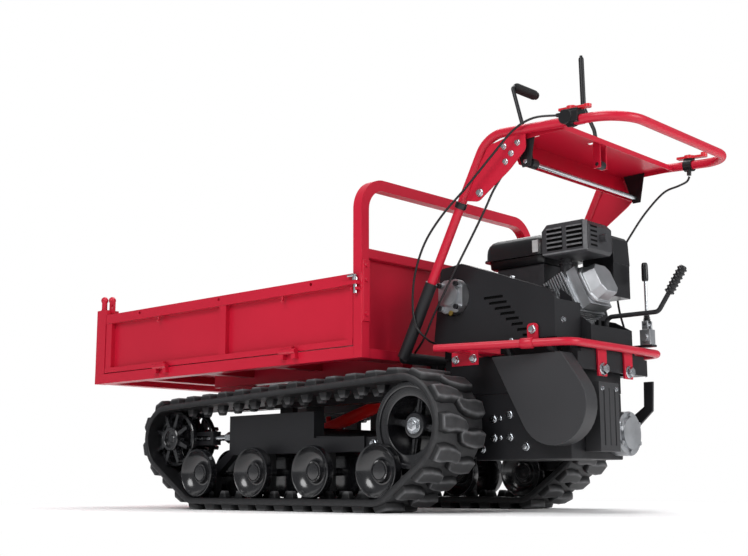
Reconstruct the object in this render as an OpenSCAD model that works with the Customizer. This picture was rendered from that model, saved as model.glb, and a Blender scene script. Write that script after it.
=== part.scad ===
// Tracked power carrier: a tipping load bed with fold-down sides on two rubber tracks.
// Front (load bed) is -X, the operator's handle is +X, the left side is -Y, +Z is up.
// The origin is on the ground, under the middle of the machine. All sizes are in millimetres.

/* [Tracks] */
// Width over the outer edges of both tracks
track_span = 800; // [770:1:840]
// Width of one rubber belt
belt_w = 180; // [176:1:190]
// Thickness of the belt's carcass
belt_t = 18; // [15:0.5:20]
// Height of the tread lugs
lug_h = 16; // [12:0.5:18]
// Wanted spacing of the tread lugs along the belt
lug_pitch = 72; // [60:1:90]
// Height of the guide horns inside the belt
horn_h = 20; // [14:0.5:22]
// Radius of the drive sprocket's flanges
sprocket_r = 110; // [104:1:114]
// Radius of the front idler's rims
idler_r = 83; // [76:1:88]
// Radius of the road wheels
roller_r = 70; // [62:1:72]
// Running gap between the wheels and the belt
wheel_gap = 1.5; // [1.2:0.1:3]
// Place of the sprocket axle
sprocket_x = 375; // [365:1:385]
// Height of the sprocket axle
sprocket_z = 218; // [212:1:222]
// Place of the idler axle
idler_x = -572; // [-585:1:-560]
// Height of the idler axle
idler_z = 209; // [200:1:214]
// Place of the front road wheel
roller_x = -435; // [-445:1:-425]
// Radius of the axle shafts in the sprockets
axle_r = 16; // [13:0.5:18]

/* [Chassis] */
// Distance between the middles of the two main rails
rail_gauge = 280; // [270:1:290]
// Width of a main rail
rail_w = 50; // [40:1:54]
// Height of a main rail
rail_h = 50; // [40:1:54]
// Height of the main rails' lower face
rail_z = 300; // [290:1:304]
// Rear end of the main frame
frame_rear = 755; // [745:1:765]
// Height of the engine plate's top
deck_z = 400; // [394:1:410]
// Width of the engine plate
deck_w = 300; // [290:1:310]
// Thickness of the engine plate
deck_t = 8; // [5:0.5:12]
// Radius of the cross tubes between the tracks
cross_r = 22; // [18:1:24]
// Height of the front cross tube
cross_z = 190; // [188:1:194]
// Height of the rear cross tube
cross_high = 215; // [212:1:217]

/* [Load bed] */
// Width of the load bed over its side rails
bed_w = 780; // [760:1:800]
// Front face of the corner posts
bed_front = -968; // [-990:1:-950]
// Rear face of the headboard posts
bed_rear = 242; // [232:1:248]
// Height of the bed's lower edge
bed_z = 397; // [390:1:410]
// Height of the bed's edge rails
bed_rail_h = 31; // [26:1:36]
// Height of the fold-down sides
side_h = 191; // [150:1:260]
// Thickness of the fold-down sides
side_t = 25; // [20:1:30]
// Width of the square corner posts
post_w = 50; // [40:1:56]
// Width of the square hoop tube
hoop_w = 30; // [24:1:36]
// Height of the hoop's centre line
hoop_z = 870; // [800:1:920]
// Height of the headboard's top
board_top = 690; // [650:1:720]
// Radius of the hinge pins
hinge_pin_r = 5; // [4:0.5:6]

/* [Tipping] */
// Place of the tipping pivot
pivot_x = -545; // [-560:1:-540]
// Height of the tipping pivot
pivot_z = 348; // [340:1:350]
// Radius of the tipping pins
pivot_pin_r = 10; // [8:0.5:12]
// Place of the ram's lower pin
ram_x = -336; // [-345:1:-330]
// Height of the ram's lower pin
ram_z = 226; // [222:1:236]
// Place of the ram's upper eye
eye_x = 172; // [165:1:180]
// Height of the ram's upper eye
eye_z = 366; // [358:1:370]
// Radius of the ram's barrel
ram_r = 19; // [17:0.5:20]
// Radius of the ram's piston rod
ram_rod_r = 10; // [8:0.5:11]
// Length of the ram's barrel
ram_len = 320; // [290:1:340]

/* [Handle] */
// Distance between the middles of the two handle tubes
handle_w = 560; // [540:1:580]
// Radius of the handle tube
handle_r = 12; // [10:0.5:13]
// Lean of the uprights from level, in degrees
upright_lean = 62; // [58:0.5:66]
// Place of the socket's top end
socket_x = 390; // [380:1:400]
// Height of the socket's top end
socket_z = 587; // [570:1:600]
// Place of the rear bar
handle_rear = 975; // [940:1:1000]
// Height of the rear bar
handle_z = 922; // [910:1:930]
// Fall of the handle loop towards the rear, in degrees
loop_fall = 3.6; // [2:0.1:5]
// Place of the control panel's rear edge
panel_rear = 803; // [795:1:820]

/* [Engine] */
// Place of the crankshaft
crank_x = 565; // [555:1:575]
// Height of the crankshaft
crank_z = 500; // [490:1:510]
// Lean of the cylinder above level, in degrees
cylinder_lean = 25; // [20:1:28]
// Radius of the engine's pulley
small_pulley_r = 42; // [36:1:46]
// Radius of the gearbox's pulley
large_pulley_r = 84; // [70:1:86]
// Place of the gearbox's input shaft
input_x = 709; // [700:1:715]
// Height of the gearbox's input shaft
input_z = 261; // [255:1:266]
// Outer radius of the belt guard's round end
guard_r = 98; // [96:1:104]
// Outer face of the side cover and the belt guard
cover_y = -215; // [-219:1:-212]

/* [Hidden] */
$fn = 48;

// Shared clearances
fit = 0.05;
gap = 0.3;
play = 3;

paint = "crimson";
black = [0.12, 0.12, 0.13];
rubber = [0.17, 0.17, 0.18];
steel = "silver";

// Small shapes used everywhere
function unit(v) = v / norm(v);

module box(a, b) {
  translate(a) cube(b - a);
}

// Round bar along Y
module bar_y(x, z, y0, y1, r) {
  translate([x, y0, z]) rotate([-90, 0, 0]) cylinder(h = y1 - y0, r = r);
}

// Round bar along X
module bar_x(y, z, x0, x1, r) {
  translate([x0, y, z]) rotate([0, 90, 0]) cylinder(h = x1 - x0, r = r);
}

// Round bar along Z
module bar_z(x, y, z0, z1, r) {
  translate([x, y, z0]) cylinder(h = z1 - z0, r = r);
}

// Outline in X and Z, as thick as the span in Y
module plate_y(pts, y0, y1) {
  translate([0, y1, 0]) rotate([90, 0, 0]) linear_extrude(y1 - y0) polygon(pts);
}

// Turned shape along Y from an outline of radius and place
module turn_y(pts) {
  rotate([-90, 0, 0]) rotate_extrude($fn = 64) polygon(pts);
}

module both_sides() {
  children();
  mirror([0, 1, 0]) children();
}

// Round bar between two points
module rod(p, q, r) {
  u = unit(q - p);
  side = abs(u[2]) > 0.9 ? [1, 0, 0] : [0, 0, 1];
  a = unit(cross(side, u));
  b = cross(u, a);
  multmatrix([[a[0], b[0], u[0], p[0]], [a[1], b[1], u[1], p[1]], [a[2], b[2], u[2], p[2]], [0, 0, 0, 1]])
    cylinder(h = norm(q - p), r = r);
}

// Length of straight tube that a bend takes up on each side of its corner
function bend_cut(p, q, s, bend_r) = bend_r * tan(acos(unit(q - p) * unit(s - q)) / 2);

// Quarter-ring piece of a bent tube at corner q
module bend(p, q, s, bend_r, r) {
  u = unit(q - p);
  v = unit(s - q);
  n = unit(v - u * (u * v));
  c = q - u * bend_cut(p, q, s, bend_r) + n * bend_r;
  w = cross(-n, u);
  multmatrix([[-n[0], u[0], w[0], c[0]], [-n[1], u[1], w[1], c[1]], [-n[2], u[2], w[2], c[2]], [0, 0, 0, 1]])
    rotate_extrude(angle = acos(u * v), $fn = 96) translate([bend_r, 0]) circle(r = r, $fn = 32);
}

// Short sleeve over the joint between a straight and a bend
module sleeve(p, u, r) {
  rod(p - u * 2, p + u * 2, r + 0.4);
}

// Tube bent with the same radius at each inner corner
module bent_tube(pts, bend_r, r) {
  last = len(pts) - 1;
  for (i = [0 : last - 1]) {
    u = unit(pts[i + 1] - pts[i]);
    from_cut = i == 0 ? 0 : bend_cut(pts[i - 1], pts[i], pts[i + 1], bend_r);
    to_cut = i == last - 1 ? 0 : bend_cut(pts[i], pts[i + 1], pts[i + 2], bend_r);
    rod(pts[i] + u * from_cut, pts[i + 1] - u * to_cut, r);
    if (i > 0) sleeve(pts[i] + u * from_cut, u, r);
    if (i < last - 1) sleeve(pts[i + 1] - u * to_cut, u, r);
  }
  for (i = [1 : last - 1]) bend(pts[i - 1], pts[i], pts[i + 1], bend_r, r);
}

// Closed belt round a list of circles, each [x, z, radius], taken clockwise with the outside on the left
function pick(c, i) = c[(i + len(c)) % len(c)];
function run_vec(c, i) = [pick(c, i + 1)[0] - pick(c, i)[0], pick(c, i + 1)[1] - pick(c, i)[1]];
function run_normal(c, i) = atan2(run_vec(c, i)[1], run_vec(c, i)[0])
  + acos((pick(c, i)[2] - pick(c, i + 1)[2]) / norm(run_vec(c, i)));
function run_len(c, i) = sqrt(pow(norm(run_vec(c, i)), 2) - pow(pick(c, i)[2] - pick(c, i + 1)[2], 2));
function wrap_deg(c, i) = (run_normal(c, i - 1) - run_normal(c, i) + 720) % 360;
function wrap_len(c, i) = pick(c, i)[2] * wrap_deg(c, i) * PI / 180;
function loop_outline(c, d) = [for (i = [1 : len(c)]) let (w = wrap_deg(c, i), n = ceil(w / 10), o = pick(c, i))
  for (k = [0 : n]) let (a = run_normal(c, i - 1) - w * k / n)
    [o[0] + (o[2] + d) * cos(a), o[1] + (o[2] + d) * sin(a)]];

// Rubber track
track_y = (track_span - belt_w) / 2;
belt_half = belt_w / 2;
roller_z = lug_h + belt_t + wheel_gap + roller_r;
axle_eye_r = 17;
roller_axle_r = 11;
roller_back = 89.9;
roller_last = sprocket_x - roller_back;
roller_step = (roller_last - roller_x) / 3;
track_path = [[idler_x, idler_z, idler_r + wheel_gap], [sprocket_x, sprocket_z, sprocket_r + wheel_gap],
  [roller_last, roller_z, roller_r + wheel_gap], [roller_x, roller_z, roller_r + wheel_gap]];
stretch = [for (i = [0 : 3]) each [run_len(track_path, i), wrap_len(track_path, i + 1)]];
function sum_to(v, n) = n == 0 ? 0 : v[n - 1] + sum_to(v, n - 1);
stretch_start = [for (j = [0 : 8]) sum_to(stretch, j)];
belt_len = stretch_start[8];
lug_n = round(belt_len / lug_pitch);
lug_base = 27;
lug_top = 18;
lug_edge = 6;
lug_cross = 10;
horn_base = 15;
horn_top = 8;
horn_in = 18;
horn_out = 40;
bury = 3;

function stretch_at(s) = max([for (j = [0 : 7]) if (s >= stretch_start[j]) j]);

// Place and outward normal at a distance along the inside of the belt
function belt_at(s) = let (j = stretch_at(s), i = floor(j / 2), u = s - stretch_start[j],
  n0 = run_normal(track_path, i))
  j % 2 == 0
    ? let (c = pick(track_path, i))
      [c[0] + c[2] * cos(n0) + u * sin(n0), c[1] + c[2] * sin(n0) - u * cos(n0), n0]
    : let (c = pick(track_path, i + 1), n = n0 - u / c[2] * 180 / PI)
      [c[0] + c[2] * cos(n), c[1] + c[2] * sin(n), n];

// Four-sided block that stands across the belt at a distance along it
function block_outline(s, base_half, base_h, top_half, top_h) = let (p = belt_at(s % belt_len), n = p[2])
  [for (q = [[-base_half, base_h], [base_half, base_h], [top_half, top_h], [-top_half, top_h]])
    [p[0] + q[0] * sin(n) + q[1] * cos(n), p[1] - q[0] * cos(n) + q[1] * sin(n)]];

module track_belt() {
  step = belt_len / lug_n;
  difference() {
    plate_y(loop_outline(track_path, belt_t), -belt_half, belt_half);
    plate_y(loop_outline(track_path, 0), -belt_half - 1, belt_half + 1);
  }
  for (k = [0 : lug_n - 1]) {
    plate_y(block_outline(k * step, lug_base, belt_t - bury, lug_top, belt_t + lug_h),
      lug_edge - belt_half, lug_cross);
    plate_y(block_outline((k + 0.5) * step, lug_base, belt_t - bury, lug_top, belt_t + lug_h),
      -lug_cross, belt_half - lug_edge);
    horn = block_outline(k * step, horn_base, bury, horn_top, -horn_h);
    plate_y([horn[3], horn[2], horn[1], horn[0]], -horn_out, -horn_in);
    plate_y([horn[3], horn[2], horn[1], horn[0]], horn_in, horn_out);
  }
}

module track_belt_left() {
  color(rubber) translate([0, -track_y, 0]) track_belt();
}

module track_belt_right() {
  color(rubber) mirror([0, 1, 0]) translate([0, -track_y, 0]) track_belt();
}

// Wheels inside the track; the outer side of each is -Y
rim_in = horn_out + 4;
wheel_out = belt_half - 14;
wheel_in = rim_in + 9;

// Road wheel: two dished discs on one axle
module road_wheel() {
  cap_r = 23;
  dish_r = 31;
  half = [[0, wheel_out - 9], [cap_r, wheel_out - 9], [cap_r + 2, wheel_out - 11], [cap_r + 2, wheel_out - 18],
    [dish_r, wheel_out - 18], [roller_r - 10, wheel_out - 3], [roller_r - 4, wheel_out],
    [roller_r, wheel_out - 3], [roller_r, wheel_in + 3], [roller_r - 4, wheel_in],
    [axle_eye_r + play, wheel_in], [roller_axle_r, wheel_in - 6]];
  turn_y(concat([for (p = half) [p[0], -p[1]]], [for (i = [len(half) - 1 : -1 : 0]) half[i]]));
}

module road_wheel_at(i) {
  translate([roller_x + i * roller_step, -track_y, roller_z]) road_wheel();
}

module road_wheel_left_1() { color(black) road_wheel_at(0); }
module road_wheel_left_2() { color(black) road_wheel_at(1); }
module road_wheel_left_3() { color(black) road_wheel_at(2); }
module road_wheel_left_4() { color(black) road_wheel_at(3); }
module road_wheel_right_1() { color(black) mirror([0, 1, 0]) road_wheel_at(0); }
module road_wheel_right_2() { color(black) mirror([0, 1, 0]) road_wheel_at(1); }
module road_wheel_right_3() { color(black) mirror([0, 1, 0]) road_wheel_at(2); }
module road_wheel_right_4() { color(black) mirror([0, 1, 0]) road_wheel_at(3); }

// Front idler: two rims on pegs round a thick hub
idler_axle_r = 18;
module idler_wheel() {
  rim_w = 20;
  rim_h = 13;
  hub_r = 36;
  hub_bore = 26;
  hub_out = rim_in + rim_w + 6;
  peg_r = 7;
  peg_n = 8;
  half = [[0, hub_out - 8], [hub_bore, hub_out - 8], [hub_bore, hub_out], [hub_r, hub_out],
    [hub_r, rim_in], [idler_axle_r, rim_in]];
  translate([idler_x, -track_y, idler_z]) {
    turn_y(concat([for (p = half) [p[0], -p[1]]], [for (i = [len(half) - 1 : -1 : 0]) half[i]]));
    for (s = [-1, 1]) {
      mid = s * (rim_in + rim_w / 2);
      turn_y([[idler_r - rim_h, mid - rim_w / 2], [idler_r, mid - rim_w / 2],
        [idler_r, mid + rim_w / 2], [idler_r - rim_h, mid + rim_w / 2]]);
      for (k = [0 : peg_n - 1]) translate([0, mid, 0]) rotate([0, k * 360 / peg_n + 20, 0])
        translate([hub_r - 6, 0, 0]) rotate([0, 90, 0]) cylinder(h = idler_r - rim_h - hub_r + 12, r = peg_r);
    }
  }
}

module idler_wheel_left() { color(black) idler_wheel(); }
module idler_wheel_right() { color(black) mirror([0, 1, 0]) idler_wheel(); }

// Drive sprocket: spoked outer flange, inner flange, drum and a row of teeth, with its axle shaft
flange_w = 8;
axle_end_y = 60;
module drive_sprocket() {
  drum_r = sprocket_r + wheel_gap - horn_h - 7;
  drum_wall = 10;
  hub_r = 32;
  tooth_n = 14;
  tooth_half = 12;
  tooth_w = 13;
  spoke_half = 8;
  spoke_out = 20;
  hub_out = 28;
  out = rim_in + flange_w;
  translate([sprocket_x, -track_y, sprocket_z]) {
    turn_y([[drum_r - drum_wall, -out], [sprocket_r, -out], [sprocket_r, -rim_in], [drum_r, -rim_in],
      [drum_r, rim_in], [sprocket_r, rim_in], [sprocket_r, out], [0, out], [0, rim_in],
      [drum_r - drum_wall, rim_in]]);
    bar_y(0, 0, -hub_out, rim_in, hub_r);
    for (k = [0 : 3]) rotate([0, k * 90 + 10, 0])
      box([hub_r - 4, -spoke_out, -spoke_half], [drum_r - drum_wall + 4, -spoke_out + 12, spoke_half]);
    for (k = [0 : tooth_n - 1]) rotate([0, k * 360 / tooth_n, 0])
      plate_y([[drum_r - 4, -tooth_half], [sprocket_r - 1, -tooth_half / 2], [sprocket_r - 1, tooth_half / 2],
        [drum_r - 4, tooth_half]], -tooth_w, tooth_w);
    translate([0, -hub_out, 0]) rotate([90, 0, 0]) cylinder(h = 10, r = 15, $fn = 6);
    bar_y(0, 0, rim_in, track_y - axle_end_y, axle_r);
  }
}

module drive_sprocket_left() { color(black) drive_sprocket(); }
module drive_sprocket_right() { color(black) mirror([0, 1, 0]) drive_sprocket(); }

// Track frame: a beam over the road wheels with an eye for each, slide shoes on the lower run and a strut
beam_z = roller_z + 51.5;
beam_h = 40;
block_half = 20;
beam_half = block_half;
block_front = roller_x + 85;
block_rear = roller_last - 280;
block_top = beam_z + 113;
strut_x = roller_last - 60;
strut_z = beam_z + 20;
strut_r = 18;
tension_rod_r = 9;
module track_frame() {
  arm_w = 14;
  arm_half = 12;
  translate([0, -track_y, 0]) difference() {
    union() {
      box([block_front, -beam_half, beam_z], [roller_last - 90, beam_half, beam_z + beam_h]);
      box([block_front, -block_half, beam_z + beam_h], [block_rear, block_half, block_top]);
      for (i = [0 : 2]) {
        box([roller_x + i * roller_step - (i > 0 ? arm_w : 0), -arm_half, lug_h + belt_t],
          [roller_x + i * roller_step + arm_w, arm_half, i > 0 ? beam_z : roller_z]);
        bar_y(roller_x + i * roller_step, roller_z, -arm_half, arm_half, axle_eye_r);
      }
      plate_y([[block_front + 10, beam_z], [block_front + 10, beam_z + 26],
        [roller_x - 4, roller_z + axle_eye_r - 1], [roller_x + 4, roller_z - axle_eye_r + 1]],
        -arm_half, arm_half);
      plate_y([[roller_last - 100, beam_z], [roller_last - 100, beam_z + 26],
        [roller_last + 4, roller_z + axle_eye_r - 1], [roller_last - 4, roller_z - axle_eye_r + 1]],
        -arm_half, arm_half);
      bar_y(roller_last, roller_z, -arm_half, arm_half, axle_eye_r);
      plate_y([[block_rear - 5, strut_z - strut_r + 2], [block_rear - 5, strut_z + strut_r + 8],
        [strut_x, strut_z + strut_r - 1], [strut_x, strut_z - strut_r + 1]], -arm_half, arm_half);
      bar_y(strut_x, strut_z, -arm_half - 4, arm_half + 4, strut_r);
    }
    for (i = [0 : 3]) bar_y(roller_x + i * roller_step, roller_z, -belt_half, belt_half, roller_axle_r + fit);
    bar_x(0, idler_z, block_front - 1, block_front + 120, tension_rod_r + fit);
  }
}

module track_frames() {
  color(black) both_sides() track_frame();
}

// Idler yoke with its tensioning rod and nuts
module track_tensioner() {
  yoke_r = 30;
  yoke_half = 15;
  yoke_end = idler_x + 140;
  nut_r = 17;
  translate([0, -track_y, 0]) {
    difference() {
      union() {
        bar_y(idler_x, idler_z, -yoke_half, yoke_half, yoke_r);
        box([idler_x, -yoke_half, idler_z - 20], [yoke_end, yoke_half, idler_z + 20]);
      }
      bar_y(idler_x, idler_z, -belt_half, belt_half, idler_axle_r + fit);
    }
    bar_x(0, idler_z, yoke_end - 1, block_front + 100, tension_rod_r);
    for (x = [block_front - 14, block_front - 30]) translate([x, 0, idler_z]) rotate([0, 90, 0])
      cylinder(h = 13.9, r = nut_r, $fn = 6);
  }
}

module track_tensioners() {
  color(steel) both_sides() track_tensioner();
}

// Welded main frame: rails, cross tubes, engine plate, tipping bosses, ram ears and handle sockets
rail_y = rail_gauge / 2;
rail_in = rail_y - rail_w / 2;
rail_out = rail_y + rail_w / 2;
rail_top = rail_z + rail_h;
deck_half = deck_w / 2;
deck_front = sprocket_x - 45;
cross_front = ram_x + 36;
cross_rear = ram_x + 151;
cross_tubes = [[cross_front, cross_z], [cross_rear, cross_high]];
pad_x = 150;
bed_beam_h = 45;
bed_floor_z = bed_z + bed_rail_h - 8;
bed_beam_z = bed_floor_z - bed_beam_h;
handle_y = handle_w / 2;
lean = [cos(upright_lean), 0, sin(upright_lean)];
socket_top = [socket_x, -handle_y, socket_z];
socket_len = (socket_z - deck_z) / sin(upright_lean);
socket_foot = socket_top - lean * socket_len;
socket_r = handle_r + 4;
socket_depth = 120;
ram_pin_r = 8;
ear_in = 14;
ear_out = 24;

module main_frame_half() {
  boss_r = 22;
  box([pivot_x - 28, -rail_out, rail_z], [frame_rear - 115, -rail_in, rail_top]);
  bar_y(pivot_x, pivot_z, -rail_out, -rail_in, boss_r);
  box([deck_front + 10, -rail_out, rail_top], [frame_rear - 10, -rail_in, deck_z - deck_t]);
  for (p = cross_tubes) box([p[0] - 28, -rail_y - 10, p[1]], [p[0] + 28, -rail_y + 10, rail_z]);
  box([pad_x - 20, -rail_out, rail_top], [pad_x + 20, -rail_in, bed_beam_z - gap]);
  box([socket_foot[0] - 12, -rail_y - 15, rail_top], [socket_foot[0] + 12, -rail_y + 15, deck_z]);
  plate_y([[cross_front - 16, cross_z - 6], [cross_front + 16, cross_z + 6], [ram_x + 20, ram_z],
    [ram_x, ram_z + 20], [ram_x - 20, ram_z]], -ear_out, -ear_in);
}

module main_frame() {
  color(black) difference() {
    union() {
      both_sides() main_frame_half();
      for (p = cross_tubes) bar_y(p[0], p[1], block_half - track_y, track_y - block_half, cross_r);
      box([deck_front, -deck_half, deck_z - deck_t], [frame_rear, deck_half, deck_z]);
      box([frame_rear - 10, -rail_out, rail_top], [frame_rear, rail_out, deck_z - deck_t]);
      box([gear_rear - 60, gear_y0, rail_z], [gear_rear, gear_y1, deck_z - deck_t]);
      bar_y(socket_foot[0], deck_z, -handle_y, handle_y, 15);
      both_sides() rod(socket_foot, socket_top, socket_r);
    }
    bar_y(pivot_x, pivot_z, -bed_w, bed_w, pivot_pin_r + fit);
    bar_y(ram_x, ram_z, -ear_out - 1, ear_out + 1, ram_pin_r + fit);
    both_sides() rod(socket_top - lean * socket_depth, socket_top + lean, handle_r + fit);
  }
}

// Gearbox with its axle tubes
gear_y0 = -rail_out;
gear_y1 = 70;
gear_rear = frame_rear - 25;
gear_bottom = sprocket_z - 86;
input_shaft_r = 14;
brake_x = frame_rear - 45;
brake_y0 = gear_y1 + 64;
brake_z = sprocket_z - 3;
brake_pin_r = 8;
module gearbox() {
  axle_half = 110;
  tube_r = 34;
  tube_end = track_y - rim_in - flange_w - play;
  color(black) difference() {
    union() {
      box([sprocket_x - 75, -axle_half, sprocket_z - 78], [sprocket_x + 75, axle_half, rail_z]);
      box([sprocket_x + 60, gear_y0, gear_bottom], [gear_rear, gear_y1, rail_z]);
      bar_y(sprocket_x, sprocket_z, -tube_end, tube_end, tube_r);
      both_sides() bar_y(sprocket_x, sprocket_z, -axle_half - 14, -axle_half, tube_r + 22);
      bar_y(brake_x, brake_z, gear_y1, brake_y0 + 16, brake_pin_r);
    }
    both_sides() bar_y(sprocket_x, sprocket_z, -track_y, -axle_end_y + play, axle_r + fit);
    bar_y(input_x, input_z, gear_y0 - 1, gear_y0 + 60, input_shaft_r + fit);
  }
}

// Round cast cover on the rear of the gearbox
module gearbox_cover() {
  y = 45;
  z = gear_bottom + 65;
  r = 56;
  color(steel) {
    bar_x(y, z, gear_rear, gear_rear + 36, r);
    bar_x(y, z, gear_rear + 36, gear_rear + 44, r - 16);
    for (a = [30 : 60 : 330]) bar_x(y + (r - 9) * cos(a), z + (r - 9) * sin(a), gear_rear, gear_rear + 42, 6);
  }
}

// Oil tank for the tipping hydraulics, on the rear of the gearbox
module oil_tank() {
  color(black) difference() {
    box([gear_rear, -105, gear_bottom + 18], [gear_rear + 45, -15, rail_z + 20]);
    for (y = [-85 : 25 : -35])
      box([gear_rear + 42, y - 3, gear_bottom + 33], [gear_rear + 46, y + 3, rail_z + 5]);
  }
}

// Belt drive between the engine and the gearbox
pulley_y0 = -200;
pulley_y1 = -170;
groove_half = 9;
groove_deep = 12;
vbelt_t = 10;
drive_path = [[crank_x, crank_z, small_pulley_r - groove_deep + 0.5],
  [input_x, input_z, large_pulley_r - groove_deep + 0.5]];
crank_shaft_r = 11;
block_y0 = -95;
block_y1 = 85;
boss_y = -115;

module pulley(r, shaft_r, shaft_end) {
  mid = (pulley_y0 + pulley_y1) / 2;
  turn_y([[0, pulley_y0], [r, pulley_y0], [r, mid - groove_half], [r - groove_deep, mid - groove_half],
    [r - groove_deep, mid + groove_half], [r, mid + groove_half], [r, pulley_y1], [0, pulley_y1]]);
  bar_y(0, 0, pulley_y1 - 1, shaft_end, shaft_r);
}

module engine_pulley() {
  color(steel) translate([crank_x, 0, crank_z]) pulley(small_pulley_r, crank_shaft_r, boss_y + 50);
}

module gearbox_pulley() {
  color(steel) translate([input_x, 0, input_z]) pulley(large_pulley_r, input_shaft_r, gear_y0 + 55);
}

module drive_belt() {
  mid = (pulley_y0 + pulley_y1) / 2;
  half = groove_half - 1;
  color(rubber) difference() {
    plate_y(loop_outline(drive_path, vbelt_t), mid - half, mid + half);
    plate_y(loop_outline(drive_path, 0), mid - half - 1, mid + half + 1);
  }
}

// Teardrop guard over the lower pulley, open at the top and towards the gearbox
guard_wall = 3;
guard_left = 208;
guard_right = 35;
guard_top = deck_z - deck_t - 4;
function guard_side(a, r, z) = let (x = input_x + r * cos(a), h = input_z + r * sin(a))
  [x - (z - h) * tan(a), z];
function guard_outline(r, z) = concat([guard_side(guard_left, r, z)],
  [for (k = [0 : 18]) let (a = guard_left + (360 + guard_right - guard_left) * k / 18)
    [input_x + r * cos(a), input_z + r * sin(a)]],
  [guard_side(guard_right, r, z)]);
module belt_guard() {
  color(black) difference() {
    plate_y(guard_outline(guard_r, guard_top), cover_y, gear_y0);
    plate_y(guard_outline(guard_r - guard_wall, guard_top + 5), cover_y + guard_wall, gear_y0 + 1);
  }
}

// Engine: crankcase, finned cylinder and head
cyl_y = -25;
head_at = 168;
block_x0 = crank_x - 95;
block_x1 = crank_x + 85;
block_z1 = crank_z + 60;
tank_z0 = crank_z + 142;
port_x = crank_x + 97;
port_y = -60;
port_z = crank_z + 130;
module on_cylinder() {
  translate([crank_x, cyl_y, crank_z]) rotate([0, -cylinder_lean, 0]) children();
}

module engine_block() {
  fin_n = 9;
  color(steel) difference() {
    union() {
      box([block_x0, block_y0, deck_z], [block_x1, block_y1, block_z1]);
      bar_y(crank_x, crank_z, boss_y, block_y0, 42);
      box([crank_x - 120, -65, block_z1 - 5], [crank_x + 30, 75, tank_z0]);
      on_cylinder() {
        box([40, -48, -46], [head_at, 48, 46]);
        for (k = [0 : fin_n - 1]) box([72 + k * 7.5, -62, -58], [75.5 + k * 7.5, 62, 58]);
        box([head_at - 28, -50, -55], [head_at, 50, 55]);
      }
      bar_z(port_x, port_y, crank_z + 70, port_z, 16);
    }
    bar_y(crank_x, crank_z, boss_y - 1, boss_y + 55, crank_shaft_r + fit);
  }
}

// Eight-sided cast cover over the valves
module valve_cover() {
  half_y = 46;
  half_z = 48;
  cut = 18;
  outline = [[-half_z, cut - half_y], [cut - half_z, -half_y], [half_z - cut, -half_y], [half_z, cut - half_y],
    [half_z, half_y - cut], [half_z - cut, half_y], [cut - half_z, half_y], [-half_z, half_y - cut]];
  color(steel) on_cylinder() translate([head_at, 0, 0]) rotate([0, 90, 0]) {
    linear_extrude(10) polygon(outline * 1.08);
    linear_extrude(44, scale = 0.84) polygon(outline);
  }
}

// Fuel tank with its filler neck
tank_x0 = crank_x - 154;
tank_x1 = crank_x + 45;
tank_y0 = -85;
tank_y1 = 110;
tank_z1 = tank_z0 + 83;
neck_x = crank_x;
neck_y = 40;
neck_r = 22;
cap_r = 30;
module fuel_tank() {
  corner = 26;
  seam = tank_z0 + 24;
  color(black) {
    hull() for (x = [tank_x0 + corner, tank_x1 - corner], y = [tank_y0 + corner, tank_y1 - corner]) {
      bar_z(x, y, tank_z0, tank_z1 - 16, corner, $fn = 24);
      bar_z(x, y, tank_z0, tank_z1, corner - 14, $fn = 24);
    }
    box([tank_x0 - 6, tank_y0 + 20, seam - 2], [tank_x1 + 6, tank_y1 - 20, seam + 2]);
    bar_z(neck_x, neck_y, tank_z1 - 1, tank_z1 + 10, neck_r);
  }
}

// Screw cap on the filler neck
module fuel_cap() {
  color(black) translate([neck_x, neck_y, 0]) difference() {
    union() {
      bar_z(0, 0, tank_z1 + gap, tank_z1 + 26, cap_r);
      for (a = [0 : 45 : 315]) rotate([0, 0, a]) bar_z(cap_r, 0, tank_z1 + gap, tank_z1 + 22, 4);
    }
    bar_z(0, 0, tank_z1 - 1, tank_z1 + 10 + gap, neck_r + gap);
  }
}

// Silencer inside its louvred guard, with its pipe to the exhaust port
module exhaust() {
  x0 = crank_x + 66;
  x1 = crank_x + 207;
  y0 = -125;
  y1 = -15;
  z0 = port_z + 15;
  z1 = z0 + 83;
  cut = 16;
  slot_x = [x0 + 16, x0 + 76];
  color(black) {
    difference() {
      plate_y([[x0, z0 + 8], [x0 + 8, z0], [x1 - 8, z0], [x1, z0 + 8], [x1, z1 - cut], [x1 - cut, z1],
        [x0 + cut, z1], [x0, z1 - cut]], y0, y1);
      for (x = slot_x, k = [0 : 4]) box([x, y0 - 1, z0 + 14 + k * 12], [x + 46, y0 + 4, z0 + 20 + k * 12]);
    }
    bar_z(port_x, port_y, port_z, z0 + 1, 14);
    bar_x((y0 + y1) / 2 + 4, z0 + 39, x1 - 5, x1 + 18, 10);
    translate([port_x, port_y, port_z]) cylinder(h = 5, r = 20);
  }
}

// Air cleaner beside the cylinder head, on its intake stub
module air_cleaner() {
  x0 = crank_x + recoil_r - 11;
  y0 = cyl_y + 50 + 12;
  lid_z = crank_z + 140;
  stub_at = head_at - 14;
  stub = [crank_x + stub_at * cos(cylinder_lean), crank_z + stub_at * sin(cylinder_lean)];
  color(black) {
    box([x0, y0, lid_z - 88], [x0 + 92, y0 + 80, lid_z]);
    plate_y([[x0 - 2, lid_z], [x0 + 94, lid_z], [x0 + 90, lid_z + 66], [x0 + 80, lid_z + 76],
      [x0 + 12, lid_z + 76], [x0 + 2, lid_z + 66]], y0, y0 + 80);
    bar_y(stub[0], stub[1], cyl_y + 50, y0 + 1, 13);
  }
}

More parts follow.
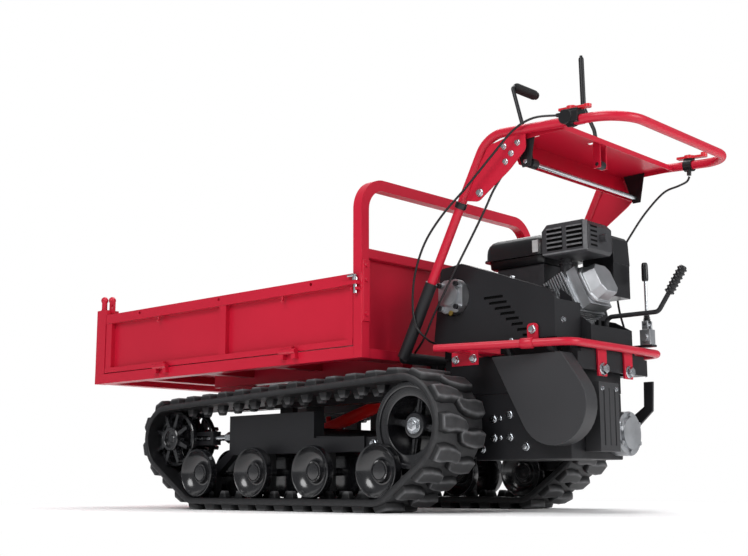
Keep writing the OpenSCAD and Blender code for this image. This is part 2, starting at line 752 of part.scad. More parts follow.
// Fan and recoil starter housing on the far side of the crankcase
recoil_r = 96;
recoil_y1 = 150;
grip_dir = [-cos(40), 0, sin(40)];
grip_y = 130;
grip_at = [crank_x, grip_y, crank_z] + grip_dir * (recoil_r + 4);
module recoil_housing() {
  color(black) {
    bar_y(crank_x, crank_z, block_y1, recoil_y1 - 14, recoil_r);
    bar_y(crank_x, crank_z, recoil_y1 - 15, recoil_y1, recoil_r - 20);
    rod([crank_x, grip_y - 12, crank_z], grip_at - [0, 12, 0], 12);
  }
}

// Pull grip of the recoil starter
module recoil_grip() {
  foot = grip_at + grip_dir * gap - [0, 12, 0];
  color(black) {
    rod(foot, foot + grip_dir * 22, 6);
    rod(foot + grip_dir * 22 - [0, 22, 0], foot + grip_dir * 22 + [0, 22, 0], 9);
  }
}

// Gear pump of the tipping hydraulics, in the window of the side cover
sheet = 3;
cover_front = deck_front + 10;
cover_rear = frame_rear - 29;
cover_low = deck_z + 26;
pump_x = cover_front + 70;
pump_z = deck_z + 156;
pump_seat = gear_y0;
module hydraulic_pump() {
  half_x = 40;
  half_z = 44;
  color(steel) {
    intersection() {
      box([pump_x - half_x, cover_y - 14, pump_z - half_z], [pump_x + half_x, pump_seat, pump_z + half_z]);
      bar_y(pump_x, pump_z, cover_y - 14, pump_seat, 48);
    }
    bar_y(pump_x, pump_z + 4, cover_y - 22, cover_y - 13, 28);
    for (x = [-28, 28], z = [-30, 30]) translate([pump_x + x, cover_y - 13, pump_z + z]) rotate([90, 0, 0])
      cylinder(h = 10, r = 8);
  }
}

// Folded sheet cover on the left of the engine, with louvres and a window for the pump
module side_cover() {
  window_r = 51;
  round_r = 36;
  peak = [cover_front + 99, cover_low + 216];
  crest = [cover_rear - round_r, cover_low + 125];
  front_top = [cover_front + 28, cover_low + 208];
  face = concat([[cover_front, cover_low], front_top + [0, 1], peak, crest],
    [for (a = [70 : -14 : 0])
      crest + round_r * [sin(70 - a) / sin(70), (cos(70 - a) - 1) * 1.2]],
    [[cover_rear, cover_low]]);
  color(black) difference() {
    union() {
      plate_y(face, cover_y, cover_y + sheet);
      plate_y([peak, crest, crest - [1, sheet], peak - [1, sheet]], cover_y, cover_y + 45);
      plate_y([[cover_front, deck_z], [cover_front + sheet, deck_z], [cover_front + sheet, cover_low],
        front_top + [sheet, 0], front_top, [cover_front, cover_low]], gear_y0 - sheet, 40 - deck_half);
      plate_y([[cover_front, cover_low], [cover_front + sheet, cover_low], front_top + [sheet, 0], front_top],
        cover_y, gear_y0);
      plate_y([[cover_front + 6, cover_low + 24], [pump_x + 60, cover_low + 24], [pump_x + 60, cover_low + 199],
        [cover_front + 28, cover_low + 199]], pump_seat, pump_seat + sheet);
      box([cover_rear - sheet, cover_y, cover_low], [cover_rear, rear_y0, cover_low + 94]);
      box([cover_rear - sheet, -deck_half, deck_z], [cover_rear, 30 - deck_half, cover_low + 74]);
    }
    bar_y(pump_x, pump_z, cover_y - 1, cover_y + sheet + 1, window_r);
    for (k = [0 : 7]) box([cover_front + 170 + k * 17, cover_y - 1, cover_low + 112 - k * 15],
      [cover_front + 230 + k * 12, cover_y + sheet + 1, cover_low + 119 - k * 15]);
  }
}

// Open sheet box behind the engine that carries the gear lever
rear_y0 = -100;
rear_y1 = 95;
lever_x = frame_rear - 20;
lever_z = deck_z + 26;
lever_pin_r = 6;
module rear_deck() {
  x0 = crank_x + recoil_r + 4;
  lip_z = deck_z + 64;
  wall = [[x0, deck_z], [frame_rear, deck_z], [frame_rear, lip_z], [frame_rear - 48, lip_z + 40],
    [frame_rear - 55, lip_z + 74], [x0, lip_z + 102]];
  low_wall = [[x0, deck_z], [frame_rear, deck_z], [frame_rear, lip_z], [frame_rear - 48, lip_z + 26],
    [x0, lip_z + 36]];
  top_z = lip_z - 9;
  ear = 16;
  color(black) difference() {
    union() {
      plate_y(wall, rear_y0, rear_y0 + sheet);
      plate_y(low_wall, rear_y1 - sheet, rear_y1);
      box([frame_rear - sheet, rear_y0, deck_z], [frame_rear, rear_y1, lip_z]);
      box([frame_rear - 65, rear_y0, top_z], [frame_rear, rear_y1, top_z + sheet]);
      both_sides() box([lever_x - 14, -ear - 4, deck_z], [frame_rear - sheet, -ear, top_z]);
    }
    box([lever_x - 25, -10, top_z - 1], [frame_rear - sheet, 10, top_z + sheet + 1]);
    bar_y(lever_x, lever_z, -ear - 5, ear + 5, lever_pin_r + fit);
  }
}

// Bent gear lever with a ribbed grip
module gear_lever() {
  knee = [lever_x + 4, 0, lever_z + 66];
  reach = [lever_x + 152, 0, lever_z + 66];
  tip = [lever_x + 226, 0, lever_z + 171];
  grip_from = reach + (tip - reach) * 0.42;
  grip = tip - grip_from;
  color(black) {
    bar_y(lever_x, lever_z, -13, 13, 12);
    bar_y(lever_x, lever_z, -20, 20, lever_pin_r);
    bent_tube([[lever_x, 0, lever_z], knee, reach, tip], 18, 6);
    rod(grip_from, tip, 10);
    for (k = [0 : 6]) rod(grip_from + grip * (k * 0.15), grip_from + grip * (k * 0.15 + 0.07), 13);
  }
}

// Tipping valve on a bracket over the rear bar
valve_x = frame_rear + 18;
valve_y = deck_half - 8;
valve_z = deck_z + 84;
valve_pin_r = 4;
bumper_z = deck_z + 11;
bumper_r = 10;
module hydraulic_valve() {
  shelf = bumper_z + bumper_r + play;
  body_z = shelf + 6;
  color(steel) difference() {
    union() {
      box([frame_rear - 65, valve_y - 12, deck_z], [frame_rear - 41, deck_half, shelf + 6]);
      box([frame_rear - 65, valve_y - 12, shelf], [valve_x + 20, valve_y + 12, shelf + 6]);
      box([valve_x - 15, valve_y - 14, body_z], [valve_x + 15, valve_y + 14, body_z + 40]);
      bar_y(valve_x, body_z + 18, valve_y - 22, valve_y + 22, 10);
      for (s = [-1, 1]) box([valve_x - 9, valve_y + s * 10 - 2, body_z + 40],
        [valve_x + 9, valve_y + s * 10 + 2, valve_z + 9]);
    }
    bar_y(valve_x, valve_z, valve_y - 13, valve_y + 13, valve_pin_r + fit);
  }
}

// Bright lever of the tipping valve with its black knob
module valve_lever() {
  color(steel) {
    bar_y(valve_x, valve_z, valve_y - 7, valve_y + 7, 7);
    bar_y(valve_x, valve_z, valve_y - 12, valve_y + 12, valve_pin_r);
    bar_z(valve_x, valve_y, valve_z, valve_z + 126, 4);
    bar_z(valve_x, valve_y, valve_z + 116, valve_z + 166, 9);
  }
}

// Bent brake arm on the right of the gearbox
module brake_arm() {
  color(black) difference() {
    union() {
      bar_y(brake_x, brake_z, brake_y0, brake_y0 + 8, 18);
      plate_y([[brake_x - 10, brake_z + 13], [brake_x + 14, brake_z - 10], [brake_x + 72, brake_z + 42],
        [brake_x + 76, brake_z + 118], [brake_x + 50, brake_z + 118], [brake_x + 48, brake_z + 54]],
        brake_y0, brake_y0 + 8);
      box([brake_x + 52, brake_y0, brake_z + 92], [brake_x + 64, brake_y0 + 26, brake_z + 118]);
    }
    bar_y(brake_x, brake_z, brake_y0 - 1, brake_y0 + 9, brake_pin_r + fit);
  }
}

// Bent guard tube round the rear with its brackets
bumper_x = frame_rear + 15;
bumper_half = 213;
bumper_front = deck_front + 95;
bumper_flare = 313;
bumper_arm_x = deck_front + 145;
bumper_tab_x = frame_rear - 93;
function bumper_y(x) = -bumper_half - (bumper_flare - bumper_half) * (bumper_x - x) / (bumper_x - bumper_front);
module bumper_half_set() {
  arm_y = bumper_y(bumper_arm_x);
  box([bumper_arm_x - 20, arm_y, deck_z], [bumper_arm_x + 20, 40 - deck_half, deck_z + 6]);
  box([bumper_arm_x - 42, arm_y + 44, deck_z - 32], [bumper_arm_x + 42, arm_y + 49, deck_z + 6]);
  box([frame_rear, -82, rail_z + 36], [frame_rear + 6, -42, bumper_z]);
  box([bumper_tab_x - 16, bumper_y(bumper_tab_x), bumper_z - 3],
    [bumper_tab_x + 16, cover_y - 1, bumper_z + 3]);
  box([bumper_tab_x - 16, cover_y - 6, bumper_z - 3], [bumper_tab_x + 16, cover_y - gap, bumper_z + 52]);
}

module bumper() {
  corner_r = 45;
  color(paint) {
    bent_tube([[bumper_front, -bumper_flare, bumper_z], [bumper_x, -bumper_half, bumper_z],
      [bumper_x, bumper_half, bumper_z], [bumper_front, bumper_flare, bumper_z]], corner_r, bumper_r);
    both_sides() {
      bumper_half_set();
    }
  }
}

// Handle: two uprights and a rear loop bent from one tube, with welded gussets
loop_dir = [cos(loop_fall), 0, -sin(loop_fall)];
function loop_height(x) = handle_z + (handle_rear - x) * tan(loop_fall);
knee_t = (loop_height(socket_x) - socket_z) / (sin(upright_lean) + cos(upright_lean) * tan(loop_fall));
knee = socket_top + lean * knee_t;
knee_r = 80;
loop_corner = [handle_rear, -handle_y, handle_z];
module handlebar() {
  bend_r = 90;
  gusset_half = 2;
  foot = socket_top - lean * (socket_depth - gap);
  mid = [handle_rear, 0, handle_z];
  knee_cut = bend_cut(foot, knee, loop_corner, knee_r);
  gusset = [knee, knee + loop_dir * 118, knee + [118, 0, -58], knee + [68, 0, -102], knee + [-6, 0, -150],
    knee + [-32, 0, -168], knee - lean * 178];
  color(paint) both_sides() {
    rod(foot, knee - lean * knee_cut, handle_r);
    bend(foot, knee, loop_corner, knee_r, handle_r);
    rod(knee + loop_dir * knee_cut, loop_corner - loop_dir * bend_r, handle_r);
    bend(knee, loop_corner, mid, bend_r, handle_r);
    rod(loop_corner + [0, bend_r, 0], mid + [0, 1, 0], handle_r);
    sleeve(knee - lean * knee_cut, lean, handle_r);
    sleeve(knee + loop_dir * knee_cut, loop_dir, handle_r);
    sleeve(loop_corner - loop_dir * bend_r, loop_dir, handle_r);
    sleeve(loop_corner + [0, bend_r, 0], [0, 1, 0], handle_r);
    plate_y([for (p = [knee - lean * 30 + loop_dir * 18, for (i = [1 : 6]) gusset[i]]) [p[0], p[2]]],
      -handle_y - gusset_half, -handle_y + gusset_half);
    rod(socket_top + lean * 180, socket_top + lean * 196, handle_r + 3);
  }
}

// Control panel: a folded sheet between the handle tubes, with a slot for each lever
panel_half = handle_y - handle_r - 0.2;
panel_front = panel_rear - 167;
panel_top = loop_height(panel_rear);
panel_low = handle_z - 66;
shaft_x = panel_front + 50;
shaft_z = handle_z - 60;
shaft_r = 6;
drive_x = panel_rear - 17;
drive_y = -80;
drive_z = handle_z - 52;
drive_pin_r = 5;
module control_panel() {
  ear = 12;
  flange = 14;
  wall_foot = shaft_x - 18;
  color(paint) difference() {
    union() {
      box([panel_front, -panel_half, panel_top - sheet], [panel_rear, panel_half, panel_top]);
      plate_y([[panel_front, panel_top], [panel_front + sheet, panel_top], [wall_foot + sheet, panel_low],
        [wall_foot, panel_low]], -panel_half, panel_half);
      box([panel_rear - sheet, -panel_half, panel_top - flange], [panel_rear, panel_half, panel_top]);
      both_sides() box([panel_front, -panel_half, panel_top - flange],
        [panel_rear, -panel_half + sheet, panel_top]);
      for (s = [-1, 1]) box([drive_x - 10, drive_y + s * (ear + 2) - 2, drive_z - 10],
        [drive_x + 10, drive_y + s * (ear + 2) + 2, panel_top]);
    }
    box([shaft_x - 46, -handle_y + 36, panel_top - 10], [shaft_x + 22, -handle_y + 56, panel_top + 1]);
    box([drive_x - 34, drive_y - ear + 2, panel_top - 10],
      [panel_rear - sheet - 2, drive_y + ear - 2, panel_top + 1]);
    bar_y(drive_x, drive_z, drive_y - 20, drive_y + 20, drive_pin_r + fit);
  }
}

// Clutch lever: a bent rod with a thick grip, welded to its cross shaft
clutch_y = -handle_y + 46;
module clutch_lever() {
  top = [shaft_x - 57, clutch_y, shaft_z + 216];
  grip_end = top + [14, 84, -8];
  color(black) {
    bar_y(shaft_x, shaft_z, -panel_half, panel_half, shaft_r);
    bar_y(shaft_x, shaft_z, clutch_y - 12, clutch_y + 12, 13);
    rod([shaft_x, clutch_y, shaft_z], top, 5);
    translate(top) sphere(r = 7);
    rod(top, top + (grip_end - top) * 0.2, 5);
    rod(top + (grip_end - top) * 0.12, grip_end, 13);
    rod(top + (grip_end - top) * 0.9, grip_end + (grip_end - top) * 0.05, 10);
  }
}

// Tall drive lever on its own pin under the panel, bent twice, with a long thin grip
module drive_lever() {
  foot = [drive_x, drive_y, drive_z];
  low_bend = foot + [-14, 0, 95];
  high_bend = foot + [-44, 0, 165];
  top = foot + [-46, 0, 300];
  color(black) {
    bar_y(drive_x, drive_z, drive_y - 11, drive_y + 11, 11);
    bar_y(drive_x, drive_z, drive_y - 16, drive_y + 16, drive_pin_r);
    rod(foot, low_bend, 5);
    translate(low_bend) sphere(r = 5);
    rod(low_bend, high_bend, 5);
    translate(high_bend) sphere(r = 7);
    rod(high_bend, top, 7);
    rod(top - [0, 0, 2], top + [0, 0, 5], 4);
  }
}

// Throttle housing on the left tube, lever clamp on the right tube and the clutch shaft's two bearing plates
throttle_x = panel_rear + 32;
clamp_x = panel_rear + 42;
module on_tube(x) {
  translate([x, -handle_y, loop_height(x)]) rotate([0, loop_fall, 0]) children();
}
lever_seat = 26;
clamp_seat = 18;
lever_pivot_r = 4;
module lever_mounts() {
  color(black) {
    on_tube(throttle_x) difference() {
      union() {
        bar_y(-8, 7, -20, 20, 18);
        box([-8, -18, -8], [26, 18, 20]);
        box([-22, -16, 18], [24, 16, lever_seat]);
        bar_x(0, 0, -10, 10, handle_r + 3);
        bar_z(0, 0, lever_seat, lever_seat + 12, lever_pivot_r);
        bar_x(0, 20, -44, -15, 5);
      }
      bar_x(0, 0, -31, 31, handle_r + fit);
    }
    mirror([0, 1, 0]) on_tube(clamp_x) difference() {
      union() {
        bar_x(0, 0, -12, 12, handle_r + 5);
        box([-12, -10, 0], [12, 10, clamp_seat]);
        bar_z(0, 0, clamp_seat, clamp_seat + 12, lever_pivot_r);
        bar_z(0, 0, -handle_r - 16, -handle_r, 6);
      }
      bar_x(0, 0, -13, 13, handle_r + fit);
    }
    both_sides() difference() {
      plate_y([[shaft_x - 36, panel_top - sheet], [shaft_x + 30, panel_top - sheet],
        [shaft_x + 14, shaft_z - 14], [shaft_x - 10, shaft_z - 14]],
        -panel_half + sheet, -panel_half + 2 * sheet);
      bar_y(shaft_x, shaft_z, -handle_y, handle_y, shaft_r + fit);
    }
  }
}

// Red thumb lever, turning flat on its pivot
module thumb_lever(seat, tab) {
  difference() {
    union() {
      bar_z(0, 0, seat + gap, seat + 9, 14);
      box([-34, -9, seat + gap], [0, 9, seat + 7]);
      box([0, -8, seat + gap], [44, 8, seat + 7]);
      bar_z(44, 0, seat + gap, seat + tab, 9);
    }
    bar_z(0, 0, seat, seat + 14, lever_pivot_r + fit);
  }
}

module throttle_lever() {
  color("red") on_tube(throttle_x) thumb_lever(lever_seat, 8);
}

// Right hand lever that works the brake
module hand_lever() {
  color("red") mirror([0, 1, 0]) on_tube(clamp_x) thumb_lever(clamp_seat, 13);
}

// Control cables, each one tube along points chosen by eye
cable_r = 3;
throttle_route = [[throttle_x - 42.7, -handle_y, loop_height(throttle_x) + 22.7], [735, -296, 956],
  [680, -304, 935], [610, -306, 880], [530, -306, 815],
  [450, -306, 755], [390, -306, 690], [355, -306, 610], [345, -304, 530], [352, -298, 475], [364, -268, 443],
  [368, -236, 433], [370, -218.3, 432]];
clutch_route = [[632, -274.6, 848], [592, -274, 802], [560, -268, 760], [510, -262, 695], [455, -256, 625],
  [405, -250, 560], [365, -246, 505], [330, -243, 450], [296.3, -240, 415.4]];
brake_route = [[844, 280, 899], [836, 279, 886], [812, 275, 877], [772, 267, 864], [728, 251, 818],
  [690, 238, 765], [655, 228, 705], [645, 212, 630], [658, 195, 550], [685, 180, 475],
  [712, 172, 410], [738, 169, 370], [750, 168.3, 350]];
function spline(p, i, t) = let (n = len(p) - 1, a = p[max(i - 1, 0)], b = p[i], c = p[min(i + 1, n)],
  d = p[min(i + 2, n)])
  0.5 * (2 * b + (c - a) * t + (2 * a - 5 * b + 4 * c - d) * t * t + (3 * b - a - 3 * c + d) * t * t * t);
function route_points(p, n) = [for (i = [0 : len(p) - 2]) for (k = [0 : n - 1]) spline(p, i, k / n),
  p[len(p) - 1]];
function ring(p, u, r, sides) = let (a = unit(cross(u, [0.3, 1, 0.2])), b = cross(u, a))
  [for (k = [0 : sides - 1]) p + r * (a * cos(k * 360 / sides) + b * sin(k * 360 / sides))];
module cable(route, r) {
  sides = 8;
  p = route_points(route, 2);
  n = len(p);
  points = [for (i = [0 : n - 1]) each ring(p[i], unit(p[min(i + 1, n - 1)] - p[max(i - 1, 0)]), r, sides)];
  skin = [for (i = [0 : n - 2], k = [0 : sides - 1]) let (a = i * sides + k, b = i * sides + (k + 1) % sides)
    each [[a, b, b + sides], [a, b + sides, a + sides]]];
  first = [for (k = [1 : sides - 2]) [0, k + 1, k]];
  last = [for (k = [1 : sides - 2]) [(n - 1) * sides, (n - 1) * sides + k, (n - 1) * sides + k + 1]];
  polyhedron(points, concat(skin, first, last));
}

module control_cables() {
  color(black) {
    cable(throttle_route, cable_r);
    cable(clutch_route, cable_r);
    cable(brake_route, cable_r);
  }
}

// Bolt heads with their washers, each lying on the face that it holds
module head_y(x, y, z) {
  translate([x, y, z]) rotate([90, 0, 0]) {
    cylinder(h = 2, r = 11);
    translate([0, 0, 2]) cylinder(h = 7, r = 9, $fn = 6);
  }
}

module head_x(x, y, z) {
  translate([x, y, z]) rotate([0, 90, 0]) {
    cylinder(h = 3, r = 17);
    translate([0, 0, 3]) cylinder(h = 10, r = 13, $fn = 6);
  }
}

module frame_bolts() {
  color(steel) {
    for (p = [[79, 130], [120, 104], [171, 114], [121, 56], [171, 57], [83, 28], [220, 32]])
      head_y(sprocket_x + p[0], gear_y0, gear_bottom + p[1]);
    for (y = [-62, 62]) head_x(frame_rear + 6, y, rail_z + 54);
    head_y(bumper_tab_x, cover_y - 6, bumper_z + 36);
    for (x = [-28, 28]) head_y(bumper_arm_x + x, bumper_y(bumper_arm_x) + 44, deck_z - 16);
    for (p = [[52, -40], [94, -38], [74, -62], [56, -80], [-26, -146]])
      head_y(knee[0] + p[0], -handle_y - 2, knee[2] + p[1]);
    head_y(strut_x, -track_y - 16, strut_z);
  }
}

// Load bed floor with its edge rails, beams, corner posts and hinge knuckles
bed_half = bed_w / 2;
edge_w = 40;
rail_face = bed_front + 12;
wall_z = bed_z + bed_rail_h + play;
wall_top = wall_z + side_h;
hinge_out = 10;
hinge_r = 8;
knuckle_half = 15.5;
knuckle_w = 16;
side_hinges = [-603, -27];
gate_hinges = [-220, 220];
bed_end = bed_rear - hoop_w;
post_top = wall_top + 18;
beam_w = 40;
bracket_in = rail_out + play;
bracket_out = bracket_in + 10;

// Fixed half of a hinge along X, with its pin; the rail's face is y = 0 and the axis lies outside it
module fixed_hinge() {
  for (s = [-1, 1]) {
    x = s * (knuckle_half + 0.5 + knuckle_w / 2);
    bar_x(-hinge_out, play, x - knuckle_w / 2, x + knuckle_w / 2, hinge_r);
    box([x - knuckle_w / 2, -hinge_out - 4, -18], [x + knuckle_w / 2, 1, -1]);
  }
  bar_x(-hinge_out, play, -knuckle_half - knuckle_w, knuckle_half + knuckle_w, hinge_pin_r);
}

// Moving half of the same hinge
module moving_hinge() {
  difference() {
    union() {
      bar_x(-hinge_out, play, -knuckle_half, knuckle_half, hinge_r);
      box([-knuckle_half, -hinge_out, play + 3], [knuckle_half, 1, play + 14]);
    }
    bar_x(-hinge_out, play, -knuckle_half - 1, knuckle_half + 1, hinge_pin_r + fit);
  }
}

module bed_half_set() {
  beam_y = bracket_in - 14;
  guide_x = pivot_x + 373;
  // edge rail with the fixed hinge halves
  box([bed_front, -bed_half, bed_z], [bed_end, edge_w - bed_half, bed_z + bed_rail_h]);
  for (x = side_hinges) translate([x, -bed_half, bed_z + bed_rail_h]) fixed_hinge();
  // beam with the tipping bracket, its pin and a guide beside the rail
  box([pivot_x - 45, -beam_y - beam_w, bed_beam_z], [bed_end, -beam_y, bed_floor_z]);
  plate_y([[pivot_x - 26, pivot_z], [pivot_x - 40, bed_beam_z + 5], [pivot_x + 140, bed_beam_z + 5],
    [pivot_x + 80, pivot_z]], -bracket_out, -bracket_in);
  plate_y([[guide_x - 45, rail_top - 6], [guide_x - 55, bed_beam_z + 5], [guide_x + 55, bed_beam_z + 5],
    [guide_x + 45, rail_top - 6]], -bracket_out, -bracket_in);
  bar_y(pivot_x, pivot_z, -bracket_out, -bracket_in, 26);
  bar_y(pivot_x, pivot_z, -bracket_out, -rail_in + 6, pivot_pin_r);
  // ear for the ram's eye
  plate_y([[eye_x - 22, bed_floor_z], [eye_x - 20, eye_z], [eye_x - 12, eye_z - 18], [eye_x + 12, eye_z - 18],
    [eye_x + 20, eye_z], [eye_x + 22, bed_floor_z]], -ear_in - 9, -ear_in - 1);
}

module bed_floor() {
  color(paint) {
    both_sides() bed_half_set();
    box([rail_face, -bed_half + 10, bed_z], [rail_face + edge_w, bed_half - 10, bed_z + bed_rail_h]);
    box([bed_end - edge_w, -bed_half + 10, bed_z], [bed_end, bed_half - 10, bed_z + bed_rail_h]);
    box([rail_face, 10 - bed_half, bed_floor_z], [bed_end, bed_half - 10, bed_floor_z + 4]);
    for (x = [-720, -420, -120]) box([x - 20, 10 - bed_half, bed_z], [x + 20, bed_half - 10, bed_floor_z + 1]);
    for (y = gate_hinges) translate([rail_face, y, bed_z + bed_rail_h]) rotate([0, 0, -90]) fixed_hinge();
  }
}

// Front corner posts with their two round-headed pins, lashing ring and holed ear
module corner_post() {
  pins = [[15, 17], [35, 33]];
  pin_h = 34;
  ring_r = 18;
  ear_l = 18;
  ear_t = 6;
  hole_r = 6;
  box([bed_front, -bed_half, bed_z + bed_rail_h], [bed_front + post_w, post_w - bed_half, post_top]);
  for (p = pins) {
    bar_z(bed_front + p[0], p[1] - bed_half, post_top, post_top + pin_h, 9);
    translate([bed_front + p[0], p[1] - bed_half, post_top + pin_h + 2]) sphere(r = 12);
  }
  translate([bed_front, post_w / 2 - bed_half, post_top - 10]) rotate([90, 0, 0]) rotate_extrude()
    translate([ring_r, 0]) circle(r = 4);
  difference() {
    box([bed_front + post_w - 1, ring_r - bed_half, wall_top + 8],
      [bed_front + post_w + ear_l, ring_r + ear_t - bed_half, wall_top + 48]);
    bar_y(bed_front + post_w + 8, wall_top + 30, -bed_half, bed_half, hole_r);
  }
}

module corner_posts() {
  color(paint) both_sides() corner_post();
}

// Headboard with its posts, sheet, top rail and hoop straps.
// A fork of two prongs on each post takes the latch pin.
latch_x = bed_rear - 15;
latch_out = 8;
latch_r = 5;
latch_z = wall_top - 40;
module headboard_side() {
  box([bed_end, -bed_half, bed_z], [bed_rear, hoop_w - bed_half, wall_top]);
  box([bed_rear, 2 - bed_half, wall_top - 130], [bed_rear + 5, hoop_w - 2 - bed_half, wall_top + 34]);
  for (z = [wall_top - 110, wall_top - 20, wall_top + 20])
    bar_x(hoop_w / 2 - bed_half, z, bed_rear + 4, bed_rear + 10, 6);
  for (x = [latch_x - 12, latch_x + latch_r + 1])
    box([x, -bed_half - 15, latch_z - 8], [x + 11 - latch_r, -bed_half - fit, latch_z]);
}

module headboard() {
  rib = 26;
  color(paint) {
    both_sides() headboard_side();
    box([bed_end, -bed_half + hoop_w, bed_z], [bed_end + 4, bed_half - hoop_w, board_top]);
    box([bed_end, -bed_half + hoop_w, board_top - rib], [bed_end + rib, bed_half - hoop_w, board_top]);
    box([bed_end, -bed_half + hoop_w, bed_z], [bed_end + rib, bed_half - hoop_w, bed_z + rib]);
  }
}

// Square-tube hoop standing on the headboard's posts
module hoop() {
  bend_r = 75;
  x = bed_rear - hoop_w / 2;
  leg_y = bed_half - hoop_w / 2;
  color(paint) {
    both_sides() {
      box([bed_end, -bed_half, wall_top], [bed_rear, hoop_w - bed_half, hoop_z - bend_r]);
      translate([x, bend_r - leg_y, hoop_z - bend_r]) rotate([0, -90, 0]) rotate([0, 0, 180]) rotate([0, 0, 90])
        rotate_extrude(angle = 90, $fn = 96) translate([bend_r, 0]) square(hoop_w, center = true);
    }
    box([bed_end, bend_r - leg_y, hoop_z - hoop_w / 2], [bed_rear, leg_y - bend_r, hoop_z + hoop_w / 2]);
  }
}

// Fold-down side: a sheet in a frame of top rail, sill, stiles and a middle rib, with tie hooks
side_front = bed_front + post_w + play;
side_rear = bed_end - play;
module drop_side() {
  face = -bed_half;
  back = side_t - bed_half;
  stile = 30;
  rib_x = [side_front, -339, side_rear - stile];
  rail_holes = [-732, -341, 51];
  hole_r = 5;
  color(paint) {
    box([side_front, back - 8, wall_z], [side_rear, back - 4, wall_top]);
    difference() {
      box([side_front, face, wall_top - stile], [side_rear, back, wall_top]);
      for (x = rail_holes) bar_y(x, wall_top - 11, face - 1, face + 12, hole_r);
    }
    box([side_front, face, wall_z], [side_rear, back, wall_z + 16]);
    for (x = rib_x) box([x, face + 2, wall_z + 1], [x + stile, back - 4, wall_top - 1]);
    for (x = side_hinges) translate([x, face, bed_z + bed_rail_h]) moving_hinge();
    for (x = [-636, -66]) {
      rod([x, face + 4, wall_top - stile + 2], [x, face + 4, wall_top - stile - 14], 3.5);
      rod([x, face + 4, wall_top - stile - 12], [x + 5, face - 4, wall_top - stile - 18], 3.5);
    }
    difference() {
      box([side_rear - stile, face - latch_out - 7, latch_z + 8], [latch_x + 11, face - 1, latch_z + 18]);
      bar_z(latch_x, face - latch_out, latch_z, latch_z + 30, latch_r + fit);
    }
    box([side_rear - stile, face - latch_out - 7, latch_z + 8], [side_rear - 4, face + 1, latch_z + 18]);
  }
}

module drop_side_left() { drop_side(); }
module drop_side_right() { mirror([0, 1, 0]) drop_side(); }

// Drop pin that locks a side to the headboard post
module side_latch() {
  y = -bed_half - latch_out;
  color(steel) {
    bar_z(latch_x, y, latch_z - 16, latch_z + 34, latch_r);
    bar_z(latch_x, y, latch_z + 18 + gap, latch_z + 26, 8);
    rod([latch_x, y, latch_z + 32], [latch_x - 26, y, latch_z + 32], 4);
  }
}

module side_latch_left() { side_latch(); }
module side_latch_right() { mirror([0, 1, 0]) side_latch(); }

// Front gate, hinged on the front rail
module tailgate() {
  half = bed_half - post_w - play;
  stile = 30;
  color(paint) {
    box([rail_face + side_t - 8, -half, wall_z], [rail_face + side_t - 4, half, wall_top]);
    box([rail_face, -half, wall_top - stile], [rail_face + side_t, half, wall_top]);
    box([rail_face, -half, wall_z], [rail_face + side_t, half, wall_z + 16]);
    for (y = [-half, -stile / 2, half - stile])
      box([rail_face + 2, y, wall_z + 1], [rail_face + side_t - 4, y + stile, wall_top - 1]);
    for (y = gate_hinges) translate([rail_face, y, bed_z + bed_rail_h]) rotate([0, 0, -90]) moving_hinge();
  }
}

// Tipping ram: barrel on its lower pin and rod with its eye, on one sloping axis
ram_foot = [ram_x, 0, ram_z];
ram_eye = [eye_x, 0, eye_z];
ram_dir = unit(ram_eye - ram_foot);
ram_bore = ram_r - 5;
barrel_from = 42;
module cylinder_barrel() {
  color("red") difference() {
    union() {
      bar_y(ram_x, ram_z, -ear_in + 1, ear_in - 1, 17);
      bar_y(ram_x, ram_z, -ear_out, ear_out, ram_pin_r);
      rod(ram_foot + ram_dir * 12, ram_foot + ram_dir * (barrel_from + 4), ear_in - 2);
      rod(ram_foot + ram_dir * barrel_from, ram_foot + ram_dir * ram_len, ram_r);
      rod(ram_foot + ram_dir * (ram_len - 24), ram_foot + ram_dir * ram_len, ram_r + 3);
      rod(ram_foot + ram_dir * (barrel_from + 30), ram_foot + ram_dir * (barrel_from + 25) + [0, 0, 34], 8);
    }
    rod(ram_foot + ram_dir * (barrel_from + 12), ram_foot + ram_dir * (ram_len - 24), ram_bore);
    rod(ram_foot + ram_dir * 100, ram_foot + ram_dir * (ram_len + 1), ram_rod_r + fit);
  }
}

module cylinder_rod() {
  color(steel) {
    rod(ram_foot + ram_dir * (barrel_from + 20), ram_eye - ram_dir * 10, ram_rod_r);
    rod(ram_foot + ram_dir * (barrel_from + 16), ram_foot + ram_dir * (barrel_from + 40), ram_bore - fit);
    bar_y(eye_x, eye_z, -ear_in + 1, ear_in - 1, 17);
    bar_y(eye_x, eye_z, -ear_in - 0.5, ear_in + 0.5, ram_pin_r);
  }
}

main_frame();
track_frames();
track_tensioners();
track_belt_left();
track_belt_right();
drive_sprocket_left();
drive_sprocket_right();
idler_wheel_left();
idler_wheel_right();
road_wheel_left_1();
road_wheel_left_2();
road_wheel_left_3();
road_wheel_left_4();
road_wheel_right_1();
road_wheel_right_2();
road_wheel_right_3();
road_wheel_right_4();
gearbox();
gearbox_cover();
oil_tank();
gearbox_pulley();
engine_pulley();
drive_belt();
belt_guard();
engine_block();
valve_cover();
fuel_tank();
fuel_cap();
exhaust();
air_cleaner();
recoil_housing();
recoil_grip();
hydraulic_pump();
side_cover();
rear_deck();
hydraulic_valve();
valve_lever();
gear_lever();
brake_arm();
bumper();
handlebar();
control_panel();
clutch_lever();
drive_lever();
lever_mounts();
throttle_lever();
hand_lever();
control_cables();
frame_bolts();
bed_floor();
corner_posts();
headboard();
hoop();
drop_side_left();
drop_side_right();
tailgate();
side_latch_left();
side_latch_right();
cylinder_barrel();
cylinder_rod();
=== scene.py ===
import math

import bmesh
import bpy
from mathutils import Matrix, Vector


